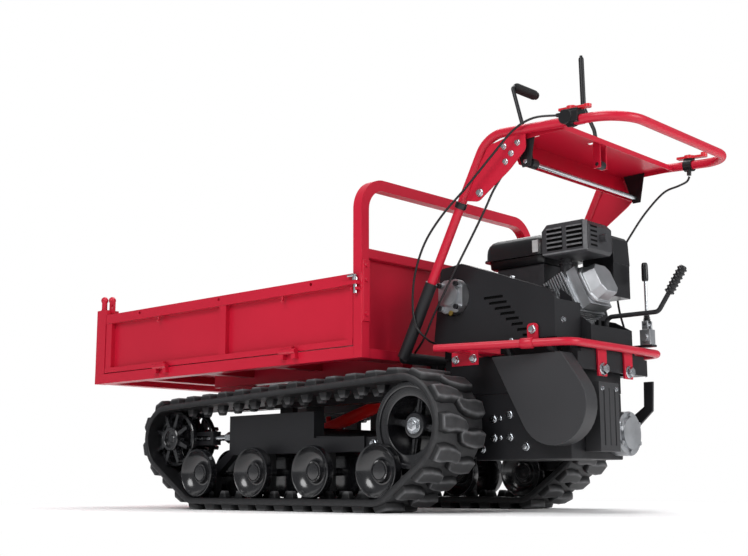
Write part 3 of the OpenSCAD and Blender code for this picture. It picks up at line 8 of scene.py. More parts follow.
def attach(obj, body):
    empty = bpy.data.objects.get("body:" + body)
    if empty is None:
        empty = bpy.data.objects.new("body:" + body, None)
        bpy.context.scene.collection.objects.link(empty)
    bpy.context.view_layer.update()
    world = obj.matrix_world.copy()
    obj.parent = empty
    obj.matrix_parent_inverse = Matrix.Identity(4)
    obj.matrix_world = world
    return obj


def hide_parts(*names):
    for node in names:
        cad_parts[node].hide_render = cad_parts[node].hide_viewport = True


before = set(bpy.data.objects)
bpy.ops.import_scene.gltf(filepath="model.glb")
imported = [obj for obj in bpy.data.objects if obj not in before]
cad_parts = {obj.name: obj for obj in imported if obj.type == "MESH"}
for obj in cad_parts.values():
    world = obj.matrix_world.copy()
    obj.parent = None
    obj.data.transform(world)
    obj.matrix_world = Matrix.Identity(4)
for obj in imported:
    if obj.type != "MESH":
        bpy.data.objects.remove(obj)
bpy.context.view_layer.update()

# Studio: a pale matt floor that fades into a white surround, a large soft lamp high on the left,
# weaker ones on the right, above and beyond the machine. The camera stands low behind the left rear corner.
MM = 0.001


def colour(code):
    """sRGB hex to the linear values that the shaders use."""
    parts = [int(code[i:i + 2], 16) / 255 for i in (1, 3, 5)]
    return tuple(v / 12.92 if v <= 0.04045 else ((v + 0.055) / 1.055) ** 2.4 for v in parts) + (1.0,)


def feed(tree, node, links):
    """Sets a node's inputs by name or number, to a value or from a socket."""
    for key, value in links.items():
        if isinstance(value, bpy.types.NodeSocket):
            tree.links.new(value, node.inputs[key])
        else:
            node.inputs[key].default_value = value


def add(tree, kind, links=None, **settings):
    """One node with its settings and its inputs."""
    node = tree.nodes.new(kind)
    for key, value in settings.items():
        setattr(node, key, value)
    feed(tree, node, links or {})
    return node


def stand(name, data):
    """A new object in the scene."""
    made = bpy.data.objects.new(name, data)
    bpy.context.scene.collection.objects.link(made)
    return made


def new_material(name):
    """A material with one principled shader, and its tree."""
    made = bpy.data.materials.new(name)
    made.use_nodes = True
    tree = made.node_tree
    tree.nodes.clear()
    shader = add(tree, "ShaderNodeBsdfPrincipled")
    add(tree, "ShaderNodeOutputMaterial", {"Surface": shader.outputs[0]})
    return made, tree, shader


def mottled(name, tones, scale, detail=2.0, gloss=0.5, skin=None, painted_light=None, **levels):
    """A material that a noise shifts between two tones; its scales are per metre. gloss is the roughness, or a
    pair that follows the noise; skin has a bump's scale, detail, strength and depth; an attribute of painted
    highlight, where one is named, limits the second tone; levels are the shader's other inputs."""
    made, tree, shader = new_material(name)
    place = add(tree, "ShaderNodeTexCoord").outputs["Object"]
    cloud = add(tree, "ShaderNodeTexNoise", {"Vector": place, "Scale": scale, "Detail": detail}).outputs["Fac"]
    share = cloud
    if painted_light:
        highlight_mask = add(tree, "ShaderNodeAttribute", attribute_name=painted_light).outputs["Fac"]
        share = add(tree, "ShaderNodeMath", {0: highlight_mask, 1: cloud}, operation="MULTIPLY").outputs[0]
    tone = add(tree, "ShaderNodeMix", {"Factor": share, "A": colour(tones[0]), "B": colour(tones[1])},
               data_type="RGBA")
    values = {key.replace("_", " "): value for key, value in levels.items()}
    values["Base Color"] = tone.outputs["Result"]
    values["Roughness"] = gloss
    if isinstance(gloss, tuple):
        spread = add(tree, "ShaderNodeMapRange", {"Value": cloud, "To Min": gloss[0], "To Max": gloss[1]})
        values["Roughness"] = spread.outputs["Result"]
    if skin:
        grain = add(tree, "ShaderNodeTexNoise", {"Vector": place, "Scale": skin[0], "Detail": skin[1]})
        bump = add(tree, "ShaderNodeBump",
                   {"Height": grain.outputs["Fac"], "Strength": skin[2], "Distance": skin[3]})
        values["Normal"] = bump.outputs["Normal"]
    feed(tree, shader, values)
    return made


world = bpy.data.worlds.new("white surround")
bpy.context.scene.world = world
world.use_nodes = True
sky = world.node_tree
sky.nodes.clear()
ray = add(sky, "ShaderNodeLightPath")
seen = add(sky, "ShaderNodeMath", {0: ray.outputs["Is Camera Ray"], 1: ray.outputs["Is Transmission Ray"]},
           operation="ADD", use_clamp=True)
lit = add(sky, "ShaderNodeBackground", {"Color": colour("#f4f6fa"), "Strength": 0.32})
white = add(sky, "ShaderNodeBackground", {"Color": (1, 1, 1, 1), "Strength": 1.0})
blend = add(sky, "ShaderNodeMixShader", {0: seen.outputs[0], 1: lit.outputs[0], 2: white.outputs[0]})
add(sky, "ShaderNodeOutputWorld", {"Surface": blend.outputs[0]})

floor_mesh = bpy.data.meshes.new("studio_floor")
floor_mesh.from_pydata([(-14, -14, 0), (14, -14, 0), (14, 14, 0), (-14, 14, 0)], [], [(0, 1, 2, 3)])
floor = stand("studio_floor", floor_mesh)
floor_paint = mottled("matt white floor paint", ("#f8f8f8", "#fcfcfc"), 2.0, gloss=0.9)
tree = floor_paint.node_tree
paint = tree.nodes["Principled BSDF"]
place = add(tree, "ShaderNodeTexCoord").outputs["Object"]
far = add(tree, "ShaderNodeVectorMath", {0: place}, operation="LENGTH")
fade = add(tree, "ShaderNodeMapRange", {"Value": far.outputs["Value"], "From Min": 1.0, "From Max": 1.7},
           interpolation_type="SMOOTHSTEP")
ray = add(tree, "ShaderNodeLightPath")
seen = add(tree, "ShaderNodeMath", {0: fade.outputs["Result"], 1: ray.outputs["Is Camera Ray"]},
           operation="MULTIPLY")
glow = add(tree, "ShaderNodeEmission", {"Color": (1, 1, 1, 1), "Strength": 1.0})
blend = add(tree, "ShaderNodeMixShader", {0: seen.outputs[0], 1: paint.outputs[0], 2: glow.outputs[0]})
tree.links.new(blend.outputs[0], tree.nodes["Material Output"].inputs["Surface"])
floor_mesh.materials.append(floor_paint)

lamps = (("key_lamp", (1.0, -3.8, 3.4), 3.0, 150), ("fill_lamp", (4.4, 0.6, 1.8), 2.4, 95),
         ("top_lamp", (-0.4, 0.8, 4.4), 3.4, 130), ("rim_lamp", (-2.2, 3.2, 2.4), 2.2, 40))
LAMP_AIM = Vector((0.1, 0, 0.45))
for name, place, size, power in lamps:
    lamp = bpy.data.lights.new(name, "AREA")
    lamp.shape = "DISK"
    lamp.size = size
    lamp.energy = power
    holder = stand(name, lamp)
    holder.location = place
    holder.rotation_euler = (LAMP_AIM - Vector(place)).to_track_quat("-Z", "Y").to_euler()

camera = bpy.data.cameras.new("low_rear_camera")
camera.sensor_width = 36.0
camera.lens = 56.18
viewer = stand("low_rear_camera", camera)
CAMERA_PLACE = (2.3209, -2.5777, 0.0745)
right, up = Vector((0.732, 0.681, -0.0025)).normalized(), Vector((0.120, -0.125, 0.985)).normalized()
back = right.cross(up).normalized()
turn = Matrix((right, back.cross(right), back)).transposed().to_4x4()
viewer.matrix_world = Matrix.Translation(CAMERA_PLACE) @ turn
bpy.context.scene.camera = viewer
bpy.context.scene.view_settings.view_transform = "Standard"

# Main frame and track frames: welded black rails, cross tubes, engine plate, handle sockets and track beams.
# Mild steel under a satin black powder coat, with softly rounded edges where the coat flows.
black_coat = mottled("satin black powder coat on sheet steel", ("#151517", "#1f1f22"), 7.0, 4.0, (0.36, 0.50),
                     (240.0, 2.0, 0.12, 0.0006), Specular_IOR_Level=0.3)


def shade(mesh, angle):
    """Smooth faces, with edges sharper than an angle kept."""
    mesh.polygons.foreach_set("use_smooth", [True] * len(mesh.polygons))
    mesh.set_sharp_from_angle(angle=math.radians(angle))


def settle(made, body, replaced):
    """A piece rides on its body and takes the place of its solids."""
    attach(made, body)
    if replaced:
        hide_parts(*replaced)


def finish(name, shape, materials, body, slot, replaced=(), pick=None, smooth=35):
    """A closed shape in metres becomes a piece that rides on a body; pick gives a face's material number."""
    if pick:
        for face in shape.faces:
            face.material_index = pick(face.calc_center_median() / MM)
    mesh = bpy.data.meshes.new(name)
    shape.to_mesh(mesh)
    shape.free()
    for made in materials:
        mesh.materials.append(made)
    shade(mesh, smooth)
    made = stand(name, mesh)
    made.modifiers.new("even_shading", "WEIGHTED_NORMAL").keep_sharp = True
    plain = bpy.data.meshes.new_from_object(made.evaluated_get(bpy.context.evaluated_depsgraph_get()))
    made.modifiers.clear()
    made.data = plain
    plain.name = name
    settle(made, body, replaced)
    return made


def ease(shape, width, angle=30):
    """Rounds the sharp edges of a shape by a width in millimetres."""
    sharp = [e for e in shape.edges if len(e.link_faces) == 2 and e.calc_face_angle(0) > math.radians(angle)
             and e.calc_length() > 2.2 * width * MM]
    if sharp:
        bmesh.ops.bevel(shape, geom=sharp, offset=width * MM, segments=2, profile=0.5, affect="EDGES",
                        clamp_overlap=True)


def from_frame(node, width):
    """A copy of a solid from the frame, with its flat faces joined and its edges rounded."""
    shape = bmesh.new()
    shape.from_mesh(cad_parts[node].data)
    bmesh.ops.remove_doubles(shape, verts=shape.verts, dist=2e-6)
    bmesh.ops.dissolve_limit(shape, angle_limit=math.radians(0.5), verts=shape.verts, edges=shape.edges)
    ease(shape, width)
    return shape


def dress(name, node, width, materials, body, slot, **more):
    """A solid from the frame, eased and coated, in the place of its node."""
    finish(name, from_frame(node, width), materials, body, slot, [node], **more)


dress("main_frame_welded", "main_frame", 1.5, [black_coat], "chassis", "black_paint")
dress("track_frames_welded", "track_frames", 1.5, [black_coat], "chassis", "black_paint")

# Track wheels: dished road wheels, pegged front idlers with their tensioners, spoked sprockets with axle nuts.
# Turned and cast steel under gloss black chassis enamel; tensioner rods and nuts in bright zinc.
gloss_black = mottled("gloss black chassis enamel", ("#0e0e10", "#1c1c1f"), 16.0, 5.0, (0.16, 0.30),
                      Specular_IOR_Level=0.6, Coat_Weight=0.4, Coat_Roughness=0.12)

bright_zinc = mottled("bright zinc plate on steel", ("#b4b7bb", "#d6d9dc"), 60.0, 3.0, (0.16, 0.34), Metallic=1.0)


def turned(shape, outline, place, axis, sides=48, closed=False):
    """Adds a turned form: the outline gives radius and distance along an axis from a place; returns its rings."""
    axis = Vector(axis).normalized()
    across = Vector((0, 0, 1)) if abs(axis.z) < 0.9 else Vector((1, 0, 0))
    across = (across - axis * across.dot(axis)).normalized()
    third = axis.cross(across)
    rings = []
    for radius, along in outline:
        centre = Vector(place) + axis * along
        turns = [2 * math.pi * k / sides for k in range(sides)] if radius > 0.01 else [0.0]
        rings.append([shape.verts.new((centre + (across * math.cos(t) + third * math.sin(t)) * radius) * MM)
                      for t in turns])
    for a, b in zip(rings, rings[1:] + (rings[:1] if closed else [])):
        for k in range(max(len(a), len(b))):
            corners = (a[k % len(a)], a[(k + 1) % len(a)], b[(k + 1) % len(b)], b[k % len(b)])
            corners = list(dict.fromkeys(corners))
            if len(corners) > 2:
                shape.faces.new(corners)
    return rings


def block(shape, low, high, turn=None, widths=(1.0, 1.0)):
    """Adds a box between two corners in millimetres, narrowed towards +X by widths, then turned."""
    ends = []
    for x, width in ((low[0], widths[0]), (high[0], widths[1])):
        mid = (low[2] + high[2]) / 2
        ends.append([shape.verts.new(((turn or Matrix()) @ Vector((x, y, mid + (z - mid) * width))) * MM)
                     for y, z in ((low[1], low[2]), (high[1], low[2]), (high[1], high[2]), (low[1], high[2]))])
    a, b = ends
    sides = [[a[k], a[(k + 1) % 4], b[(k + 1) % 4], b[k]] for k in range(4)]
    for corners in ([a[3], a[2], a[1], a[0]], b, *sides):
        shape.faces.new(corners)


def squared(shape):
    """Turns all faces outwards."""
    bmesh.ops.recalc_face_normals(shape, faces=shape.faces)
    return shape


dish = ((0, 63), (19, 63), (21.2, 62), (22, 59.5), (23.2, 59.5), (23.8, 62.2), (27.4, 61.6), (28.2, 55),
        (31.5, 50.5), (37, 49.5), (45, 51.5), (53, 57), (59, 64), (63, 70.5), (65.2, 74.6), (66.6, 76),
        (68.6, 75.6), (69.8, 74), (70, 72), (70, 56), (69, 53), (62, 50), (45, 45.5), (21, 45), (11, 44))
rim_lip = ((71, 30), (70, 32), (70, 43), (72, 45), (81, 45), (83, 43), (83, 30), (81, 28.5), (73, 28.5))
idler_hub = ((0, -62), (26, -62), (26, -69), (27, -70), (34, -70), (36, -68), (36, -44), (18, -44), (18, 44),
             (36, 44), (36, 68), (34, 70), (27, 70), (26, 69), (26, 62), (24, 61), (12, 61), (10, 63), (0, 63))
drum = ((0, -250), (15, -250), (16, -249), (16, -52), (107, -52), (110, -50), (110, -45.5), (108, -44),
        (84.5, -44), (84.5, 44), (108, 44), (110, 45.5), (110, 50.5), (108.5, 52), (99, 52), (96.5, 50.8),
        (95, 46.5), (77, 45.5), (74.5, 44), (74.5, -41), (71, -44), (0, -44))
sprocket_hub = ((0, -44), (30, -44), (30, 10), (34, 16), (34, 23), (31, 27), (27, 28), (0, 28))
axle_nut = ((0, 26), (22, 26), (22, 30), (21, 31), (0, 31))
TRACK_Y, ROLLER_Z, ROLLER_X = 310.0, 105.5, (-435.0, -194.96, 45.07, 285.11)
IDLER, SPROCKET = (-572.0, 209.0), (375.0, 218.0)
PEGS, SPOKES, TEETH, FLUTE = 8, 4, 14, 0.0012
for side, sign in (("left", -1), ("right", 1)):
    for number, x in enumerate(ROLLER_X, 1):
        node = "road_wheel_%s_%d" % (side, number)
        shape = bmesh.new()
        rings = turned(shape, [(r, -d) for r, d in dish] + [(r, d) for r, d in reversed(dish)],
                       (x, sign * TRACK_Y, ROLLER_Z), (0, 1, 0), 72)
        for ring in (rings[5], rings[6], rings[-6], rings[-7]):
            for vert in ring[::2]:
                vert.co.y += FLUTE if vert.co.y < sign * TRACK_Y * MM else -FLUTE
        finish(node + "_turned", squared(shape), [gloss_black], node, "wheel_black", [node])

    node = "idler_wheel_" + side
    place, out = Vector((IDLER[0], sign * TRACK_Y, IDLER[1])), Vector((0, sign, 0))
    shape = bmesh.new()
    turned(shape, idler_hub, place, out, 56)
    for face in (1, -1):
        turned(shape, [(r, face * d) for r, d in rim_lip], place, out, 64, closed=True)
        for k in range(PEGS):
            turn = Matrix.Translation(place) @ Matrix.Rotation(math.radians(20 + 360 / PEGS * k), 4, "Y")
            near, wide = sorted((face * sign * 40, face * sign * 62))
            block(shape, (33, near, -7), (78, wide, 7), turn, (1.0, 0.72))
    ease(shape, 1.5, 40)
    finish(node + "_cast", squared(shape), [gloss_black], node, "wheel_black", [node])

    node = "drive_sprocket_" + side
    place = Vector((SPROCKET[0], sign * TRACK_Y, SPROCKET[1]))
    shape = bmesh.new()
    turned(shape, drum, place, out, 80)
    turned(shape, sprocket_hub, place, out, 48)
    for k in range(SPOKES):
        turn = Matrix.Translation(place) @ Matrix.Rotation(math.radians(10 + 360 / SPOKES * k), 4, "Y")
        near, wide = sorted((sign * 8, sign * 16))
        block(shape, (28, near, -8), (78, wide, 8), turn, (1.1, 0.9))
        near, wide = sorted((sign * -6, sign * 20))
        block(shape, (28, near, -2.5), (77, wide, 2.5), turn)
    for k in range(TEETH):
        turn = Matrix.Translation(place) @ Matrix.Rotation(2 * math.pi * k / TEETH, 4, "Y")
        block(shape, (80, -13, -12), (109, 13, 12), turn, (1.0, 0.5))
    finish(node + "_cast", squared(shape), [gloss_black], node, "wheel_black", [node])
    shape = bmesh.new()
    turned(shape, axle_nut, place, out, 40)
    turned(shape, ((0, 30.5), (16, 30.5), (16, 37), (13.5, 38.5), (0, 38.5)), place, out, 6)
    turned(shape, ((0, 38), (9, 38), (9, 39.5), (8, 40.5), (0, 40.5)), place, out, 24)
    finish("axle_nut_" + side, squared(shape), [bright_zinc], node, "bright_steel")
yokes, rods = bmesh.new(), bmesh.new()
for s in (-1, 1):
    x, y, z = IDLER[0], s * TRACK_Y, IDLER[1]
    turned(yokes, ((18, -15), (30, -15), (30, 15), (18, 15)), (x, y, z), (0, 1, 0), 48, closed=True)
    for arm in (z - 14, z + 14):
        block(yokes, (-548, y - 15, arm - 6), (-446, y + 15, arm + 6))
    block(yokes, (-446, y - 15, z - 20), (-432, y + 15, z + 20))
    turned(rods, ((0, -548), (11, -548), (11, -446), (9, -444), (9, -250), (0, -250)), (0, y, z), (1, 0, 0), 28)
    for nut in (-380, -364):
        turned(rods, ((0, nut), (15, nut), (17, nut + 1.5), (17, nut + 12), (15, nut + 13.5), (0, nut + 13.5)),
               (0, y, z), (1, 0, 0), 6)
ease(yokes, 1.0)
finish("tensioner_yokes", squared(yokes), [black_coat], "chassis", "black_paint", ["track_tensioners"])
finish("tensioner_rods", squared(rods), [bright_zinc], "chassis", "bright_steel")

# Tracks: endless rubber belts moulded with a staggered tread outside and two rows of guide horns inside.
# Carbon-black rubber, dull and slightly grey; a painted highlight makes the lug tops paler, most at their edges,
# and the belt's outside a little paler.
track_rubber = mottled("moulded carbon-black rubber", ("#111113", "#7c7c7e"), 45.0, 6.0, (0.42, 0.66),
                       (320.0, 3.0, 0.25, 0.0008), painted_light="painted_highlight", Specular_IOR_Level=0.35)

BELT_HALF, BELT_T, LUG_H, HORN_H, LUG_COUNT = 90.0, 18.0, 16.0, 20.0, 36
WHEELS = ((*IDLER, 84.5), (*SPROCKET, 111.5), (ROLLER_X[-1], ROLLER_Z, 71.5), (ROLLER_X[0], ROLLER_Z, 71.5))


def belt_loop(step):
    """Points and outward angles along the inside of the belt, clockwise seen from the left."""
    count = len(WHEELS)
    normals = []
    for i in range(count):
        (ax, az, ar), (bx, bz, br) = WHEELS[i], WHEELS[(i + 1) % count]
        span = math.hypot(bx - ax, bz - az)
        normals.append(math.atan2(bz - az, bx - ax) + math.acos((ar - br) / span))
    points = []
    for i in range(count):
        x, z, r = WHEELS[i]
        begin, sweep = normals[i - 1], (normals[i - 1] - normals[i]) % (2 * math.pi)
        pieces = max(2, round(r * sweep / step))
        points += [(x + r * math.cos(begin - sweep * k / pieces), z + r * math.sin(begin - sweep * k / pieces),
                    begin - sweep * k / pieces) for k in range(pieces + 1)]
        (bx, bz, br) = WHEELS[(i + 1) % count]
        start = Vector((x + r * math.cos(normals[i]), z + r * math.sin(normals[i])))
        end = Vector((bx + br * math.cos(normals[i]), bz + br * math.sin(normals[i])))
        pieces = max(1, round((end - start).length / step))
        points += [(*start.lerp(end, k / pieces), normals[i]) for k in range(1, pieces)]
    return points


def helper_piece(name, shape):
    """A shape becomes a helper object that a tree sets out."""
    mesh = bpy.data.meshes.new(name)
    shape.to_mesh(mesh)
    shape.free()
    return stand(name, mesh)


def tread_block(name, plan, top, height):
    """One moulded block that stands on the belt along +Z, with a painted highlight on top, brightest at its edge;
    the plan runs along (X) and across.
    """
    shape = bmesh.new()
    highlight_layer = shape.verts.layers.float.new("painted_highlight")
    middle = sum((y for _, y in plan)) / len(plan)
    rings = []
    # Painted highlight: none at the foot, full on the top's edge ring, a quarter on the top's middle.
    for z, share, painted_light in ((0.0, 1.0, 0.0), (height * 0.6, 0.5 + top / 2, 0.1), (height, top, 1.0),
                           (height, top * 0.6, 0.25)):
        ring = []
        for x, y in plan:
            tuck = 3.0 * z / height + (4.0 if share < top else 0.0)
            vert = shape.verts.new((x * share * MM, (y + (tuck if y < middle else -tuck)) * MM, z * MM))
            vert[highlight_layer] = painted_light
            ring.append(vert)
        rings.append(ring)
    for lower, upper in zip(rings, rings[1:]):
        for k in range(len(plan)):
            shape.faces.new((lower[k], lower[(k + 1) % len(plan)], upper[(k + 1) % len(plan)], upper[k]))
    shape.faces.new(rings[-1])
    shape.faces.new(list(reversed(rings[0])))
    ease(squared(shape), 1.8, 20)
    return helper_piece(name, shape)


def open_tree(name, result, **inputs):
    """A Geometry Nodes tree with named inputs and one result; returns it with its input sockets."""
    group = bpy.data.node_groups.new(name, "GeometryNodeTree")
    for socket, kind in inputs.items():
        group.interface.new_socket(socket, in_out="INPUT", socket_type="NodeSocket" + kind)
    group.interface.new_socket(result, in_out="OUTPUT", socket_type="NodeSocketGeometry")
    return group, add(group, "NodeGroupInput").outputs


def close_tree(group, geometry, material, result):
    """Ends a tree: copies become real geometry and all of it gets the material."""
    whole = add(group, "GeometryNodeRealizeInstances", {"Geometry": geometry})
    coated = add(group, "GeometryNodeSetMaterial", {"Geometry": whole.outputs["Geometry"], "Material": material})
    add(group, "NodeGroupOutput", {result: coated.outputs["Geometry"]})
    return group


def blocks_along_belt():
    """Geometry Nodes: blocks stand at even steps on a closed path, each turned to the path's run."""
    group, given = open_tree("blocks_along_belt", "Belt", Belt="Geometry", Path="Object", Block="Object",
                             Count="Int", Rubber="Material")
    path = add(group, "GeometryNodeObjectInfo", {"Object": given["Path"]})
    piece = add(group, "GeometryNodeObjectInfo", {"Object": given["Block"]})
    steps = add(group, "GeometryNodeResampleCurve", {"Curve": path.outputs["Geometry"], "Count": given["Count"]})
    run = add(group, "GeometryNodeInputTangent")
    facing = add(group, "FunctionNodeAlignEulerToVector", {"Vector": run.outputs["Tangent"]}, axis="X",
                 pivot_axis="Y")
    stood = add(group, "GeometryNodeInstanceOnPoints",
                {"Points": steps.outputs["Curve"], "Instance": piece.outputs["Geometry"],
                 "Rotation": facing.outputs["Rotation"]})
    both = add(group, "GeometryNodeJoinGeometry", {"Geometry": stood.outputs["Instances"]})
    group.links.new(given["Belt"], both.inputs["Geometry"])
    return close_tree(group, both.outputs["Geometry"], given["Rubber"], "Belt")


def use_tree(holder, group, **values):
    """Runs a tree on an object with its inputs set by identifier, and keeps the result as a plain mesh."""
    made = holder.modifiers.new(group.name, "NODES")
    made.node_group = group
    for item in group.interface.items_tree:
        if item.in_out == "INPUT" and item.name in values:
            made[item.identifier] = values[item.name]
    plain = bpy.data.meshes.new_from_object(holder.evaluated_get(bpy.context.evaluated_depsgraph_get()))
    holder.modifiers.clear()
    holder.data = plain


def path_object(name, points, closed=False):
    """A helper curve through points in millimetres."""
    data = bpy.data.curves.new(name, "CURVE")
    data.dimensions = "3D"
    spline = data.splines.new("POLY")
    spline.points.add(len(points) - 1)
    for point, place in zip(spline.points, points):
        point.co = (*(v * MM for v in place), 1.0)
    spline.use_cyclic_u = closed
    return stand(name, data)


def belt_carcass(mid):
    """The flat endless belt with rounded edges, round its wheels."""
    shape = bmesh.new()
    highlight_layer = shape.verts.layers.float.new("painted_highlight")
    section = ((0, -BELT_HALF + 2), (2, -BELT_HALF), (BELT_T - 5, -BELT_HALF), (BELT_T - 1, -BELT_HALF + 3),
               (BELT_T, -BELT_HALF + 8), (BELT_T, BELT_HALF - 8), (BELT_T - 1, BELT_HALF - 3),
               (BELT_T - 5, BELT_HALF), (2, BELT_HALF), (0, BELT_HALF - 2))
    rings = []
    for x, z, angle in belt_loop(14.0):
        ring = []
        for out, across in section:
            vert = shape.verts.new(((x + out * math.cos(angle)) * MM, (mid + across) * MM,
                                    (z + out * math.sin(angle)) * MM))
            # A faint painted highlight on the belt's outside.
            vert[highlight_layer] = 0.2 if out > 2 else 0.0
            ring.append(vert)
        rings.append(ring)
    for a, b in zip(rings, rings[1:] + rings[:1]):
        for k in range(len(section)):
            shape.faces.new((a[k], a[(k + 1) % len(section)], b[(k + 1) % len(section)], b[k]))
    return squared(shape)


tread_tree = blocks_along_belt()
lug_plan = ((-24, -85), (22, -85), (28, -62), (24, -30), (27, -8), (33, 8), (16, 15), (-10, 6), (-22, -16),
            (-29, -56))
horn_plan = ((-16, -40), (16, -40), (16, -18), (-16, -18))
lug_left = tread_block("tread_lug_left", lug_plan, 0.7, LUG_H + 2)
lug_right = tread_block("tread_lug_right", [(-x, -y) for x, y in lug_plan], 0.7, LUG_H + 2)
horn_one = tread_block("guide_horn_left", horn_plan, 0.5, HORN_H + 2)
horn_two = tread_block("guide_horn_right", [(-x, -y) for x, y in horn_plan], 0.5, HORN_H + 2)
for side, sign in (("left", -1), ("right", 1)):
    mid = sign * TRACK_Y
    belt = finish("rubber_track_" + side, belt_carcass(mid), [track_rubber], "chassis", "track_rubber",
                  ["track_belt_" + side])
    loop = belt_loop(6.0)
    outer = [(x + (BELT_T - 2) * math.cos(a), mid, z + (BELT_T - 2) * math.sin(a)) for x, z, a in loop]
    inner = [(x + 2 * math.cos(a), mid, z + 2 * math.sin(a)) for x, z, a in loop]
    half = len(outer) // (2 * LUG_COUNT)
    outside = path_object("lug_path", outer, True)
    staggered = path_object("lug_path_staggered", outer[half:] + outer[:half], True)
    inside = path_object("horn_path", list(reversed(inner)), True)
    for path, piece in ((outside, lug_left), (staggered, lug_right), (inside, horn_one), (inside, horn_two)):
        use_tree(belt, tread_tree, Path=path, Block=piece, Count=LUG_COUNT, Rubber=track_rubber)
    shade(belt.data, 38)
    for helper in (outside, staggered, inside):
        bpy.data.objects.remove(helper)
for helper in (lug_left, lug_right, horn_one, horn_two):
    bpy.data.objects.remove(helper)

# Gearbox, pulleys, belt guard and oil tank under the engine plate.
# Black-painted castings and pressed sheet, with one bare cast cover at the rear.
cast_aluminium = mottled("sand-cast aluminium", ("#8d8f92", "#c3c5c8"), 22.0, 5.0, (0.3, 0.46),
                         (420.0, 2.0, 0.3, 0.0006), Metallic=0.9)

charcoal = mottled("charcoal powder coat on pressed sheet", ("#2c2c2e", "#363638"), 5.0, 3.0, 0.45,
                   (260.0, 2.0, 0.15, 0.0006), Specular_IOR_Level=0.35)


def pieces_on_points():
    """Geometry Nodes: one piece stands on each point, along the point's facing and at its size."""
    group, given = open_tree("pieces_on_points", "Pieces", Points="Geometry", Piece="Object", Coat="Material")
    piece = add(group, "GeometryNodeObjectInfo", {"Object": given["Piece"]})
    facing = add(group, "GeometryNodeInputNamedAttribute", {"Name": "facing"}, data_type="FLOAT_VECTOR")
    size = add(group, "GeometryNodeInputNamedAttribute", {"Name": "size"}, data_type="FLOAT")
    turned_up = add(group, "FunctionNodeAlignEulerToVector", {"Vector": facing.outputs["Attribute"]}, axis="Z")
    stood = add(group, "GeometryNodeInstanceOnPoints",
                {"Points": given["Points"], "Instance": piece.outputs["Geometry"],
                 "Rotation": turned_up.outputs["Rotation"], "Scale": size.outputs["Attribute"]})
    return close_tree(group, stood.outputs["Instances"], given["Coat"], "Pieces")


def set_out(name, places, piece, coat, body, replaced=()):
    """A group of pieces; each place has its point, its facing and its size."""
    mesh = bpy.data.meshes.new(name)
    mesh.from_pydata([[v * MM for v in point] for point, _, _ in places], [], [])
    mesh.attributes.new("facing", "FLOAT_VECTOR", "POINT")
    mesh.attributes.new("size", "FLOAT", "POINT")
    for k, (_, way, scale) in enumerate(places):
        mesh.attributes["facing"].data[k].vector = way
        mesh.attributes["size"].data[k].value = scale
    made = stand(name, mesh)
    use_tree(made, point_tree, Piece=piece, Coat=coat)
    shade(made.data, 35)
    settle(made, body, replaced)


def pattern(name, parts):
    """A helper piece at the origin along +Z, from turned parts with their number of sides."""
    shape = bmesh.new()
    for outline, sides in parts:
        turned(shape, outline, (0, 0, 0), (0, 0, 1), sides)
    return helper_piece(name, squared(shape))


point_tree = pieces_on_points()
dress("gearbox_case", "gearbox", 3.0, [black_coat], "chassis", "black_paint")
dress("gearbox_end_cover", "gearbox_cover", 1.5, [cast_aluminium], "chassis", "cast_aluminium")
dress("oil_tank_ribbed", "oil_tank", 3.0, [charcoal], "chassis", "black_paint")
dress("belt_guard_pressed", "belt_guard", 1.6, [charcoal], "chassis", "black_paint")
dress("drive_belt_v", "drive_belt", 0.8, [track_rubber], "chassis", "track_rubber")
for node in ("gearbox_pulley", "engine_pulley"):
    dress(node + "_turned", node, 0.8, [bright_zinc], node, "bright_steel")

# Engine: a small petrol engine with a leaning finned cylinder, cast cover, black tank and guarded exhaust.
# Cast aluminium, moulded black plastic and heat-proof black paint; the tank is welded from two mouldings.
black_plastic = mottled("moulded black polypropylene", ("#0f0f11", "#19191b"), 12.0, 3.0, (0.24, 0.36),
                        (500.0, 2.0, 0.12, 0.0005), Specular_IOR_Level=0.4)

heat_black = mottled("heat-proof black stove paint", ("#252527", "#3c3c3f"), 30.0, 4.0, (0.36, 0.55),
                     Specular_IOR_Level=0.35)

# Near-black, matt and nearly unreflecting: painted shade for what is seen through louvres and slots.
shade_black = mottled("near-black painted shade", ("#050505", "#0c0c0c"), 300.0, gloss=0.95, Specular_IOR_Level=0.1)

# Lighter grey stove paint on the exhaust guard's edges and louvre lips is a painted highlight.
edge_highlight_paint = mottled("stove paint lightened as painted highlight", ("#4a4a4c", "#8b8c8e"), 70.0, 4.0, 0.42, Metallic=0.4)

clear_plastic = mottled("milky polyethylene sight strip", ("#b9bcbb", "#d5d7d6"), 90.0, gloss=0.35)


def loft(shape, low, high, corner, levels, steps=7):
    """Adds a rounded box: each level gives a height and how far its outline is drawn in."""
    rings = []
    for z, inset in levels:
        reach = max(corner - inset * 0.6, 4.0)
        ring = []
        for cx, cy, begin in ((high[0], high[1], 0), (low[0], high[1], 90), (low[0], low[1], 180),
                              (high[0], low[1], 270)):
            mx = cx - inset - reach if cx == high[0] else cx + inset + reach
            my = cy - inset - reach if cy == high[1] else cy + inset + reach
            for k in range(steps):
                a = math.radians(begin + 90 * k / (steps - 1))
                ring.append(shape.verts.new(((mx + reach * math.cos(a)) * MM, (my + reach * math.sin(a)) * MM,
                                             z * MM)))
        rings.append(ring)
    for a, b in zip(rings, rings[1:]):
        for k in range(len(a)):
            shape.faces.new((a[k], a[(k + 1) % len(a)], b[(k + 1) % len(a)], b[k]))
    shape.faces.new(rings[-1])
    shape.faces.new(list(reversed(rings[0])))


CRANK, LEAN, HEAD_FROM, HEAD_X = Vector((565, -25, 500)), math.radians(25), 60, 596
PIPE_X, PIPE_Y, PIPE_Z, PIPE_REACH = 662, -60, 590, 17
lean = Vector((math.cos(LEAN), 0, math.sin(LEAN)))


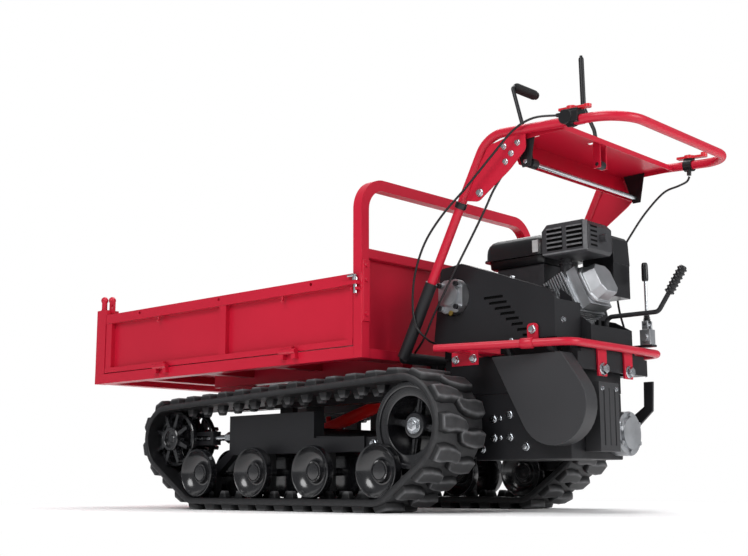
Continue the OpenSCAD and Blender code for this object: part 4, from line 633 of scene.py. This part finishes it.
def engine_paint_and_shade(centre):
    """Bare metal on the cylinder and head; black on the exhaust pipe and on the crankcase, whose black stands
    partly for its black shroud and partly for painted shade under the tank.
    """
    along = (centre - CRANK).dot(lean)
    pipe = centre.z > PIPE_Z and math.hypot(centre.x - PIPE_X, centre.y - PIPE_Y) < PIPE_REACH
    return 0 if along > HEAD_FROM and centre.x > HEAD_X and not pipe else 1


def guard_paint_and_shade(centre):
    """Near-black painted shade behind the louvres, stove paint on the rest of the exhaust's guard."""
    return 1 if -124.5 < centre.y < -119 and 656 < centre.z < 716 and centre.x < 755 else 0


dress("engine_casting", "engine_block", 0.8, [cast_aluminium, heat_black], "chassis", "cast_aluminium",
      pick=engine_paint_and_shade)
dress("valve_cover_cast", "valve_cover", 2.5, [cast_aluminium], "chassis", "cast_aluminium")
tank = bmesh.new()
loft(tank, (411, -85), (610, 110), 26,
     ((642, 22), (643, 14), (647, 9), (660, 7.5), (664, 7), (664.5, -5), (668.5, -5), (669, 0), (687, 0.5),
      (699, 2), (709, 6), (717, 13), (722, 23), (724.5, 36), (725, 50)))
turned(tank, ((0, 717), (24, 717), (24, 727), (22, 731), (22, 735), (0, 735)), (565, 40, 0), (0, 0, 1), 32)
finish("fuel_tank_moulded", squared(tank), [black_plastic], "chassis", "black_plastic", ["fuel_tank"], smooth=50)
strip = bmesh.new()
block(strip, (574, -86.2, 672), (592, -82, 704))
ease(strip, 1.2)
finish("fuel_sight_strip", squared(strip), [clear_plastic], "chassis", "black_plastic")
dress("fuel_cap_moulded", "fuel_cap", 1.0, [black_plastic], "fuel_cap", "black_plastic")
dress("exhaust_guard", "exhaust", 2.5, [heat_black, shade_black], "chassis", "exhaust_black", pick=guard_paint_and_shade)
# The guard's rear and lower edges in lighter paint: a painted highlight.
edges = bmesh.new()
block(edges, (757, -126.6, 651), (769, -124, 724))
block(edges, (634, -126.4, 649), (769, -124, 653))
ease(edges, 0.8)
finish("exhaust_guard_edges", squared(edges), [edge_highlight_paint], "chassis", "exhaust_black")
lip, slot = bmesh.new(), bmesh.new()
block(lip, (-23, -1.8, -0.5), (23, 1.8, 2.0))
ease(lip, 0.9)
block(slot, (-2.5, -15, -0.5), (2.5, 15, 0.5))
lip, slot = helper_piece("louvre_lip", squared(lip)), helper_piece("side_slot", squared(slot))
# The louvre lips carry the same painted highlight.
rises = [12 * k for k in range(5)]
set_out("exhaust_louvres", [((x, -125, 667 + rise), (0, -1, 0), 1.0) for x in (670, 730) for rise in rises], lip,
        edge_highlight_paint, "chassis")
# The side slots are drawn in near-black as painted shade.
set_out("exhaust_side_slots", [((772, -100, 662 + rise), (1, 0, 0), 1.0) for rise in rises], slot, shade_black, "chassis")
for helper in (lip, slot):
    bpy.data.objects.remove(helper)
dress("air_cleaner_moulded", "air_cleaner", 4.0, [black_plastic], "chassis", "black_plastic")
dress("recoil_housing_pressed", "recoil_housing", 3.0, [black_plastic], "chassis", "black_plastic")
dress("recoil_pull_grip", "recoil_grip", 1.5, [black_plastic], "recoil_grip", "black_plastic")

# Side cover, rear deck and hydraulics round the engine.
# Folded black sheet with a near-black sheet of painted shade behind the louvres, a bare cast pump with a brass
# plug, and a cast tipping valve with a plated lever.
brass = mottled("turned brass", ("#a8863c", "#cdb060"), 80.0, gloss=0.3, Metallic=1.0)

dress("hydraulic_pump_cast", "hydraulic_pump", 2.0, [cast_aluminium], "chassis", "cast_aluminium")
plug = bmesh.new()
turned(plug, ((0, 0), (7, 0), (7, 5), (0, 5)), (416, -231, 511), (0, -1, 0), 6)
finish("pump_plug", squared(plug), [brass], "chassis", "bright_steel")
dress("side_cover_folded", "side_cover", 1.0, [black_coat], "chassis", "black_paint")
# A near-black sheet behind the side cover's louvres: painted shade.
liner = bmesh.new()
block(liner, (495, -211.4, 430), (705, -208.5, 552))
finish("side_cover_liner", squared(liner), [shade_black], "chassis", "black_plastic")
dress("rear_deck_folded", "rear_deck", 1.0, [black_coat], "chassis", "black_paint")
VALVE_BASE = 429
dress("tipping_valve", "hydraulic_valve", 1.2, [cast_aluminium, black_coat], "chassis", "cast_aluminium",
      pick=lambda centre: 1 if centre.z < VALVE_BASE else 0)
VALVE_PIN, VALVE_FOOT = (773, 142, 484), (773, 142, 0)
lever = bmesh.new()
turned(lever, ((0, -12), (4, -12), (4, -7), (7, -7), (7, 7), (4, 7), (4, 12), (0, 12)), VALVE_PIN, (0, 1, 0), 24)
turned(lever, ((0, 484), (4, 484), (4, 605), (0, 605)), VALVE_FOOT, (0, 0, 1), 16)
finish("tipping_valve_lever", squared(lever), [bright_zinc], "valve_lever", "bright_steel", ["valve_lever"])
knob = bmesh.new()
turned(knob, ((0, 600), (7, 600), (8.4, 602), (9, 608), (8.6, 640), (7.8, 646), (6, 649), (0, 650)), VALVE_FOOT,
       (0, 0, 1), 28)
folds = [(9.5 - 0.45 * k + (2.0 if k % 2 else 0.0), 490 + 2.4 * k) for k in range(13)]
turned(knob, [(0, 490)] + folds + [(0, folds[-1][1])], VALVE_FOOT, (0, 0, 1), 28)
finish("tipping_valve_knob", squared(knob), [black_plastic], "valve_lever", "black_plastic")
dress("brake_arm_cut", "brake_arm", 1.0, [black_coat], "brake_arm", "black_paint")

# Red tubes: the guard bar round the rear, and the handle bent from one tube, with its gussets and control panel.
# Steel tube under gloss crimson enamel, with the faint orange peel of sprayed paint.
red_enamel = mottled("crimson sprayed enamel on steel", ("#b0102a", "#c01732"), 3.5, 3.0, (0.32, 0.42),
                     (150.0, 1.0, 0.05, 0.0005), Specular_IOR_Level=0.3, Coat_Weight=0.12, Coat_Roughness=0.2)


def tube_along_path():
    """Geometry Nodes: a round tube of even radius follows a path and joins what the object already holds."""
    group, given = open_tree("tube_along_path", "Tubes", Tubes="Geometry", Path="Object", Radius="Float",
                             Sides="Int", Coat="Material")
    path = add(group, "GeometryNodeObjectInfo", {"Object": given["Path"]})
    section = add(group, "GeometryNodeCurvePrimitiveCircle",
                  {"Resolution": given["Sides"], "Radius": given["Radius"]}, mode="RADIUS")
    drawn = add(group, "GeometryNodeCurveToMesh", {"Curve": path.outputs["Geometry"],
                                                   "Profile Curve": section.outputs["Curve"], "Fill Caps": True})
    both = add(group, "GeometryNodeJoinGeometry", {"Geometry": drawn.outputs["Mesh"]})
    group.links.new(given["Tubes"], both.inputs["Geometry"])
    return close_tree(group, both.outputs["Geometry"], given["Coat"], "Tubes")


def rounded(points, radii, pieces=14):
    """A path through corner points with each inner corner bent to a radius."""
    corners = [Vector(p) for p in points]
    path = [corners[0]]
    for before, corner, after, radius in zip(corners, corners[1:], corners[2:], radii):
        u, v = (corner - before).normalized(), (after - corner).normalized()
        angle = u.angle(v)
        start = corner - u * radius * math.tan(angle / 2)
        inward = (v - u * u.dot(v)).normalized()
        centre = start + inward * radius
        path += [centre + (u * math.sin(angle * k / pieces) - inward * math.cos(angle * k / pieces)) * radius
                 for k in range(pieces + 1)]
    return path + [corners[-1]]


def draw_tubes(piece, runs, sides, coat):
    """Draws tubes along paths into a piece; each run has a path and a radius."""
    for points, radius in runs:
        path = path_object("tube_path", points)
        use_tree(piece, tube_tree, Path=path, Radius=radius * MM, Sides=sides, Coat=coat)
        bpy.data.objects.remove(path)
    shade(piece.data, 42)


def plate(shape, outline, low, high, corner=0.0):
    """Adds a flat plate with an outline in X and Z, its corners rounded, between two places across (Y)."""
    faces = []
    for y in (low, high):
        faces.append([shape.verts.new((x * MM, y * MM, z * MM)) for x, z in outline])
    a, b = faces
    count = len(outline)
    shape.faces.new(list(reversed(a)))
    shape.faces.new(b)
    sides = [shape.faces.new((a[k], a[(k + 1) % count], b[(k + 1) % count], b[k])) for k in range(count)]
    if corner:
        upright = [e for f in sides for e in f.edges if abs(e.verts[0].co.y - e.verts[1].co.y) > 1e-6]
        bmesh.ops.bevel(shape, geom=list(set(upright)), offset=corner * MM, segments=5, profile=0.5,
                        affect="EDGES", clamp_overlap=True)


tube_tree = tube_along_path()
GUARD_R, HANDLE_R, LEVER_R, GEAR_R, CABLE_R = 10, 12, 5, 6, 3
GUARD_Z, GUARD_END, GUARD_BEND = 411, (425, 313), (770, 213)
guard = bmesh.new()
for s in (-1, 1):
    for low, high in (((455, 298.5, 400), (495, 110, 406)), ((433, 254.5, 368), (517, 249.5, 406)),
                      ((755, 82, 336), (761, 42, 411)), ((646, 244, 408), (678, 216, 414))):
        near, wide = sorted((s * low[1], s * high[1]))
        block(guard, (low[0], near, low[2]), (high[0], wide, high[2]))
    near, wide = sorted((s * 221, s * 215.4))
    plate(guard, ((646, 408), (678, 408), (678, 463), (646, 463)), near, wide, 10)
ease(squared(guard), 1.0)
for s in (-1, 1):
    along = (GUARD_BEND[0] - GUARD_END[0], s * (GUARD_BEND[1] - GUARD_END[1]), 0)
    turned(guard, ((10, -16), (12.6, -16), (13.4, -15), (13.4, 15), (12.6, 16), (10, 16)),
           (662, s * 244.3, GUARD_Z), along, 36, closed=True)
bar = finish("guard_bar_bent", guard, [red_enamel], "chassis", "red_paint", ["bumper"])
near_half = [(x, -y, GUARD_Z) for x, y in (GUARD_END, GUARD_BEND)]
route = rounded(near_half + [(x, -y, z) for x, y, z in reversed(near_half)], (45, 45))
draw_tubes(bar, [(route, GUARD_R)], 32, red_enamel)

HANDLE_Y, HANDLE_FOOT, KNEE, LOOP_END = 280, (333.8, 481.3), (581.3, 946.8), (975, 922)
UPRIGHT = (0.46947, 0, 0.88295)
gussets = bmesh.new()
for s in (-1, 1):
    plate(gussets, ((585.2, 919.2), (699.1, 939.4), (699.3, 888.8), (649.3, 844.8), (575.3, 796.8), (549.3, 778.8),
                    (497.7, 789.6)), s * HANDLE_Y - 2, s * HANDLE_Y + 2, 9)
ease(squared(gussets), 0.8)
handle = finish("handle_bent", gussets, [red_enamel], "chassis", "red_paint", ["handlebar"])
near_half = [(x, -HANDLE_Y, z) for x, z in (HANDLE_FOOT, KNEE, LOOP_END)]
route = rounded(near_half + [(x, -y, z) for x, y, z in reversed(near_half)], (80, 90, 90, 80))
draw_tubes(handle, [(route, HANDLE_R)], 40, red_enamel)
dress("control_panel_folded", "control_panel", 1.0, [red_enamel], "chassis", "red_paint")
bands = bmesh.new()
for s in (-1, 1):
    turned(bands, ((12.1, 0), (14.5, 0), (15.5, 2), (15.5, 14), (14.5, 16), (12.1, 16)),
           (487.7, s * HANDLE_Y, 770.7), UPRIGHT, 40, closed=True)
finish("cable_bands", squared(bands), [black_plastic], "chassis", "black_plastic")

# Levers, grips and their mounts on the handle, with the control cables.
# Black coated rods with a foam grip and a ribbed plastic one, black clamp mouldings and red thumb levers.
red_plastic = mottled("moulded red polyamide", ("#bb1220", "#d02030"), 40.0, gloss=0.3)

foam, tree, shader = new_material("black foam grip")
place = add(tree, "ShaderNodeTexCoord").outputs["Object"]
cells = add(tree, "ShaderNodeTexVoronoi", {"Vector": place, "Scale": 700.0})
tone = add(tree, "ShaderNodeMix",
           {"Factor": cells.outputs["Distance"], "A": colour("#1c1c1d"), "B": colour("#0e0e0f")}, data_type="RGBA")
skin = add(tree, "ShaderNodeBump", {"Height": cells.outputs["Distance"], "Strength": 0.3, "Distance": 0.0006})
feed(tree, shader, {"Base Color": tone.outputs["Result"], "Normal": skin.outputs["Normal"], "Roughness": 0.7,
                    "Specular IOR Level": 0.3})

CLUTCH_Y, SHAFT_X, SHAFT_Z, CLUTCH_TOP = -234, 686, 862, (629, -234, 1078)
shaft = bmesh.new()
turned(shaft, ((0, -267.5), (5, -267.5), (6, -266.5), (6, 266.5), (5, 267.5), (0, 267.5)), (SHAFT_X, 0, SHAFT_Z),
       (0, 1, 0), 24)
finish("clutch_cross_shaft", squared(shaft), [bright_zinc], "clutch_lever", "bright_steel")
clutch = bmesh.new()
turned(clutch, ((6.1, -12), (12, -12), (13, -11), (13, 11), (12, 12), (6.1, 12)),
       (SHAFT_X, CLUTCH_Y, SHAFT_Z), (0, 1, 0), 32, closed=True)
rod = finish("clutch_lever_rod", squared(clutch), [black_coat], "clutch_lever", "black_paint", ["clutch_lever"])
route = rounded(((684, CLUTCH_Y, 869.6), CLUTCH_TOP, (641, -162, 1071)), (9,), 8)
draw_tubes(rod, [(route, LEVER_R)], 20, black_coat)
grip = bmesh.new()
axis = Vector((14, 84, -8))
turned(grip, ((0, 9), (7, 9), (10.5, 10), (12.4, 13), (13, 17), (13, 76), (12.6, 80), (11, 82.5), (8.6, 83.5),
              (8.6, 84.5), (10, 85.5), (10.4, 87.5), (9, 89.4), (0, 89.7)), CLUTCH_TOP, axis, 40)
finish("clutch_lever_grip", squared(grip), [foam], "clutch_lever", "black_plastic")

DRIVE_PIN, DRIVE_KNEE = (786, -80, 870), (742, -80, 1035)
drive = bmesh.new()
turned(drive, ((0, -16), (5, -16), (5, -11), (11, -11), (11, 11), (5, 11), (5, 16), (0, 16)), DRIVE_PIN,
       (0, 1, 0), 32)
turned(drive, ((0, -5), (5, -5), (6.4, -3), (7, 0), (7, 129), (6.2, 133), (4, 135), (4, 139), (0, 140)),
       DRIVE_KNEE, (-2, 0, 135), 28)
rod = finish("drive_lever_rod", squared(drive), [black_coat], "drive_lever", "black_paint", ["drive_lever"])
route = rounded((DRIVE_PIN, (772, -80, 965), DRIVE_KNEE, (741.6, -80, 1062)), (40, 30), 8)
draw_tubes(rod, [(route, LEVER_R)], 20, black_coat)

GEAR_PIN, RIBS, RIB_STEP = (735, 0, 426), 7, 10.6
gear = bmesh.new()
turned(gear, ((0, -20), (6, -20), (6, -13), (12, -13), (12, 13), (6, 13), (6, 20), (0, 20)), GEAR_PIN,
       (0, 1, 0), 32)
rod = finish("gear_lever_bent", squared(gear), [black_coat], "gear_lever", "black_paint", ["gear_lever"])
route = rounded((GEAR_PIN, (739, 0, 492), (887, 0, 492), (961, 0, 597)), (18, 18), 8)
draw_tubes(rod, [(route[:-1] + [Vector((960, 0, 595.6))], GEAR_R)], 20, black_coat)
grip = bmesh.new()
start, axis = Vector((918.1, 0, 536.1)), Vector((74, 0, 105)).normalized()
ribs = [(0, -1), (8, -1), (10, 0)]
for k in range(RIBS):
    ribs += [(r, RIB_STEP * k + d) for r, d in ((10, 0.4), (12.4, 1.4), (13, 3), (12.4, 5), (10, 6))]
turned(grip, ribs + [(9.6, 72.5), (7, 75), (0, 75.4)], start, axis, 36)
finish("gear_lever_grip", squared(grip), [black_plastic], "gear_lever", "black_plastic")


def clamp_paint(centre):
    """Coated steel on the shaft's brackets, moulded plastic on the clamps."""
    return 1 if abs(centre.y) < 265.5 and centre.z < 931 and centre.x < 720 else 0


dress("lever_clamps", "lever_mounts", 1.2, [black_plastic, black_coat], "chassis", "black_plastic",
      pick=clamp_paint)
dress("throttle_thumb_lever", "throttle_lever", 2.0, [red_plastic], "throttle_lever", "red_plastic")
dress("brake_thumb_lever", "hand_lever", 2.0, [red_plastic], "hand_lever", "red_plastic")


def flowing(points, pieces=6):
    """A smooth path that passes through each point."""
    p = [Vector(v) for v in points]
    path = []
    for i in range(len(p) - 1):
        a, b, c, d = p[max(i - 1, 0)], p[i], p[i + 1], p[min(i + 2, len(p) - 1)]
        for k in range(pieces):
            t = k / pieces
            path.append(0.5 * (2 * b + (c - a) * t + (2 * a - 5 * b + 4 * c - d) * t * t
                               + (3 * b - a - 3 * c + d) * t ** 3))
    return path + [p[-1]]


throttle_route = ((792.3, -280, 953.5), (735, -296, 956), (680, -304, 935), (610, -306, 880), (530, -306, 815),
                  (450, -306, 755), (390, -306, 690), (355, -306, 610), (345, -304, 530), (352, -298, 475),
                  (364, -268, 443), (368, -236, 433), (370, -218.3, 432))
clutch_route = ((632, -274.6, 848), (592, -274, 802), (560, -268, 760), (510, -262, 695), (455, -256, 625),
                (405, -250, 560), (365, -246, 505), (330, -243, 450), (296.3, -240, 415.4))
brake_route = ((844, 280, 899), (836, 279, 886), (812, 275, 877), (772, 267, 864), (728, 251, 818),
               (690, 238, 765), (655, 228, 705), (645, 212, 630), (658, 195, 550), (685, 180, 475),
               (712, 172, 410), (738, 169, 370), (750, 168.3, 350))
cables = finish("control_cable_run", bmesh.new(), [black_plastic], "chassis", "track_rubber", ["control_cables"])
runs = [(flowing(route), CABLE_R) for route in (throttle_route, clutch_route, brake_route)]
draw_tubes(cables, runs, 12, black_plastic)

# Bolts: flanged hexagon bolts on the gearbox, brackets and gussets, with small ones on the covers.
# Bright zinc-plated steel; black socket heads on the pump. Each group is set out from its list of places.
bolt = pattern("flange_bolt", ((((0, -0.5), (11, -0.5), (11, 1), (10, 2.2), (0, 2.2)), 28),
                               (((0, 1.5), (9, 1.5), (9, 6.5), (7.6, 8.4), (4, 9), (0, 9)), 6)))
socket_bolt = pattern("socket_bolt", ((((0, -0.5), (7, -0.5), (7, 7), (6.2, 8), (3.8, 8), (3.8, 4), (0, 4)), 24),))
left, right, rear = (0, -1, 0), (0, 1, 0), (1, 0, 0)
GEARBOX_SIDE, GEARBOX_FOOT, GUSSET_SIDE = -165, 132, HANDLE_Y + 2
places = [((SPROCKET[0] + x, GEARBOX_SIDE, GEARBOX_FOOT + z), left, 1.0)
          for x, z in ((79, 130), (120, 104), (171, 114), (121, 56), (171, 57), (83, 28), (220, 32))]
places += [((761, y, 354), rear, 1.5) for y in (-62, 62)]
places += [((662, -221, 447), left, 1.0)]
places += [((475 + x, -254.5, 384), left, 1.0) for x in (-28, 28)]
gusset_bolts = ((52, -40, 0.75), (94, -38, 0.75), (74, -62, 0.75), (56, -80, 0.75), (-26, -146, 1.0))
places += [((KNEE[0] + x, -GUSSET_SIDE, KNEE[1] + z), left, size) for x, z, size in gusset_bolts]
places += [((225.11, -326, 177), left, 1.0)]
set_out("frame_bolt_heads", places, bolt, bright_zinc, "chassis", ["frame_bolts"])
places = [((KNEE[0] + x, GUSSET_SIDE, KNEE[1] + z), right, size) for x, z, size in gusset_bolts]
places += [((662, 221, 447), right, 1.0), ((586, -194, 588.6), (0.34, 0, 0.94), 0.7),
           ((594, -215, 427), left, 0.55), ((726, -180, 470), rear, 0.7)]
places += [((775, y, 304), rear, 0.55) for y in (-92, -28)]
places += [((516, GEARBOX_SIDE, z), left, 0.6) for z in (188, 237)]
set_out("cover_screws", places, bolt, bright_zinc, "chassis")
places = [((410 + x, -237.5, 556 + z), left, 1.0) for x in (-28, 28) for z in (-30, 30)]
set_out("pump_socket_heads", places, socket_bolt, black_coat, "chassis")
for helper in (bolt, socket_bolt):
    bpy.data.objects.remove(helper)

# Load bed: floor, corner posts, headboard, hoop, fold-down sides and front gate, with the tipping ram under it.
# Folded and welded sheet under the same crimson enamel; the ram's rod and the latch pins are plated.
# The ram's own saturated red, set brighter still as painted light for the shade it sits in under the bed.
ram_red_brightened = mottled("red gloss enamel on honed tube, brightened as painted light", ("#e01010", "#f01a14"), 12.0, gloss=0.3)

dress("bed_floor_welded", "bed_floor", 1.5, [red_enamel], "bed", "red_paint")
dress("corner_posts_welded", "corner_posts", 1.5, [red_enamel], "bed", "red_paint")
dress("headboard_welded", "headboard", 1.5, [red_enamel], "bed", "red_paint")
dress("hoop_bent", "hoop", 4.0, [red_enamel], "bed", "red_paint")
for side in ("left", "right"):
    dress("fold_down_side_" + side, "drop_side_" + side, 1.5, [red_enamel], "drop_side_" + side, "red_paint")
    dress("latch_pin_" + side, "side_latch_" + side, 0.8, [bright_zinc], "side_latch_" + side, "bright_steel")
dress("front_gate", "tailgate", 1.5, [red_enamel], "tailgate", "red_paint")
dress("ram_barrel", "cylinder_barrel", 1.0, [ram_red_brightened], "cylinder_barrel", "red_paint")
dress("ram_rod", "cylinder_rod", 0.8, [bright_zinc], "cylinder_rod", "bright_steel")
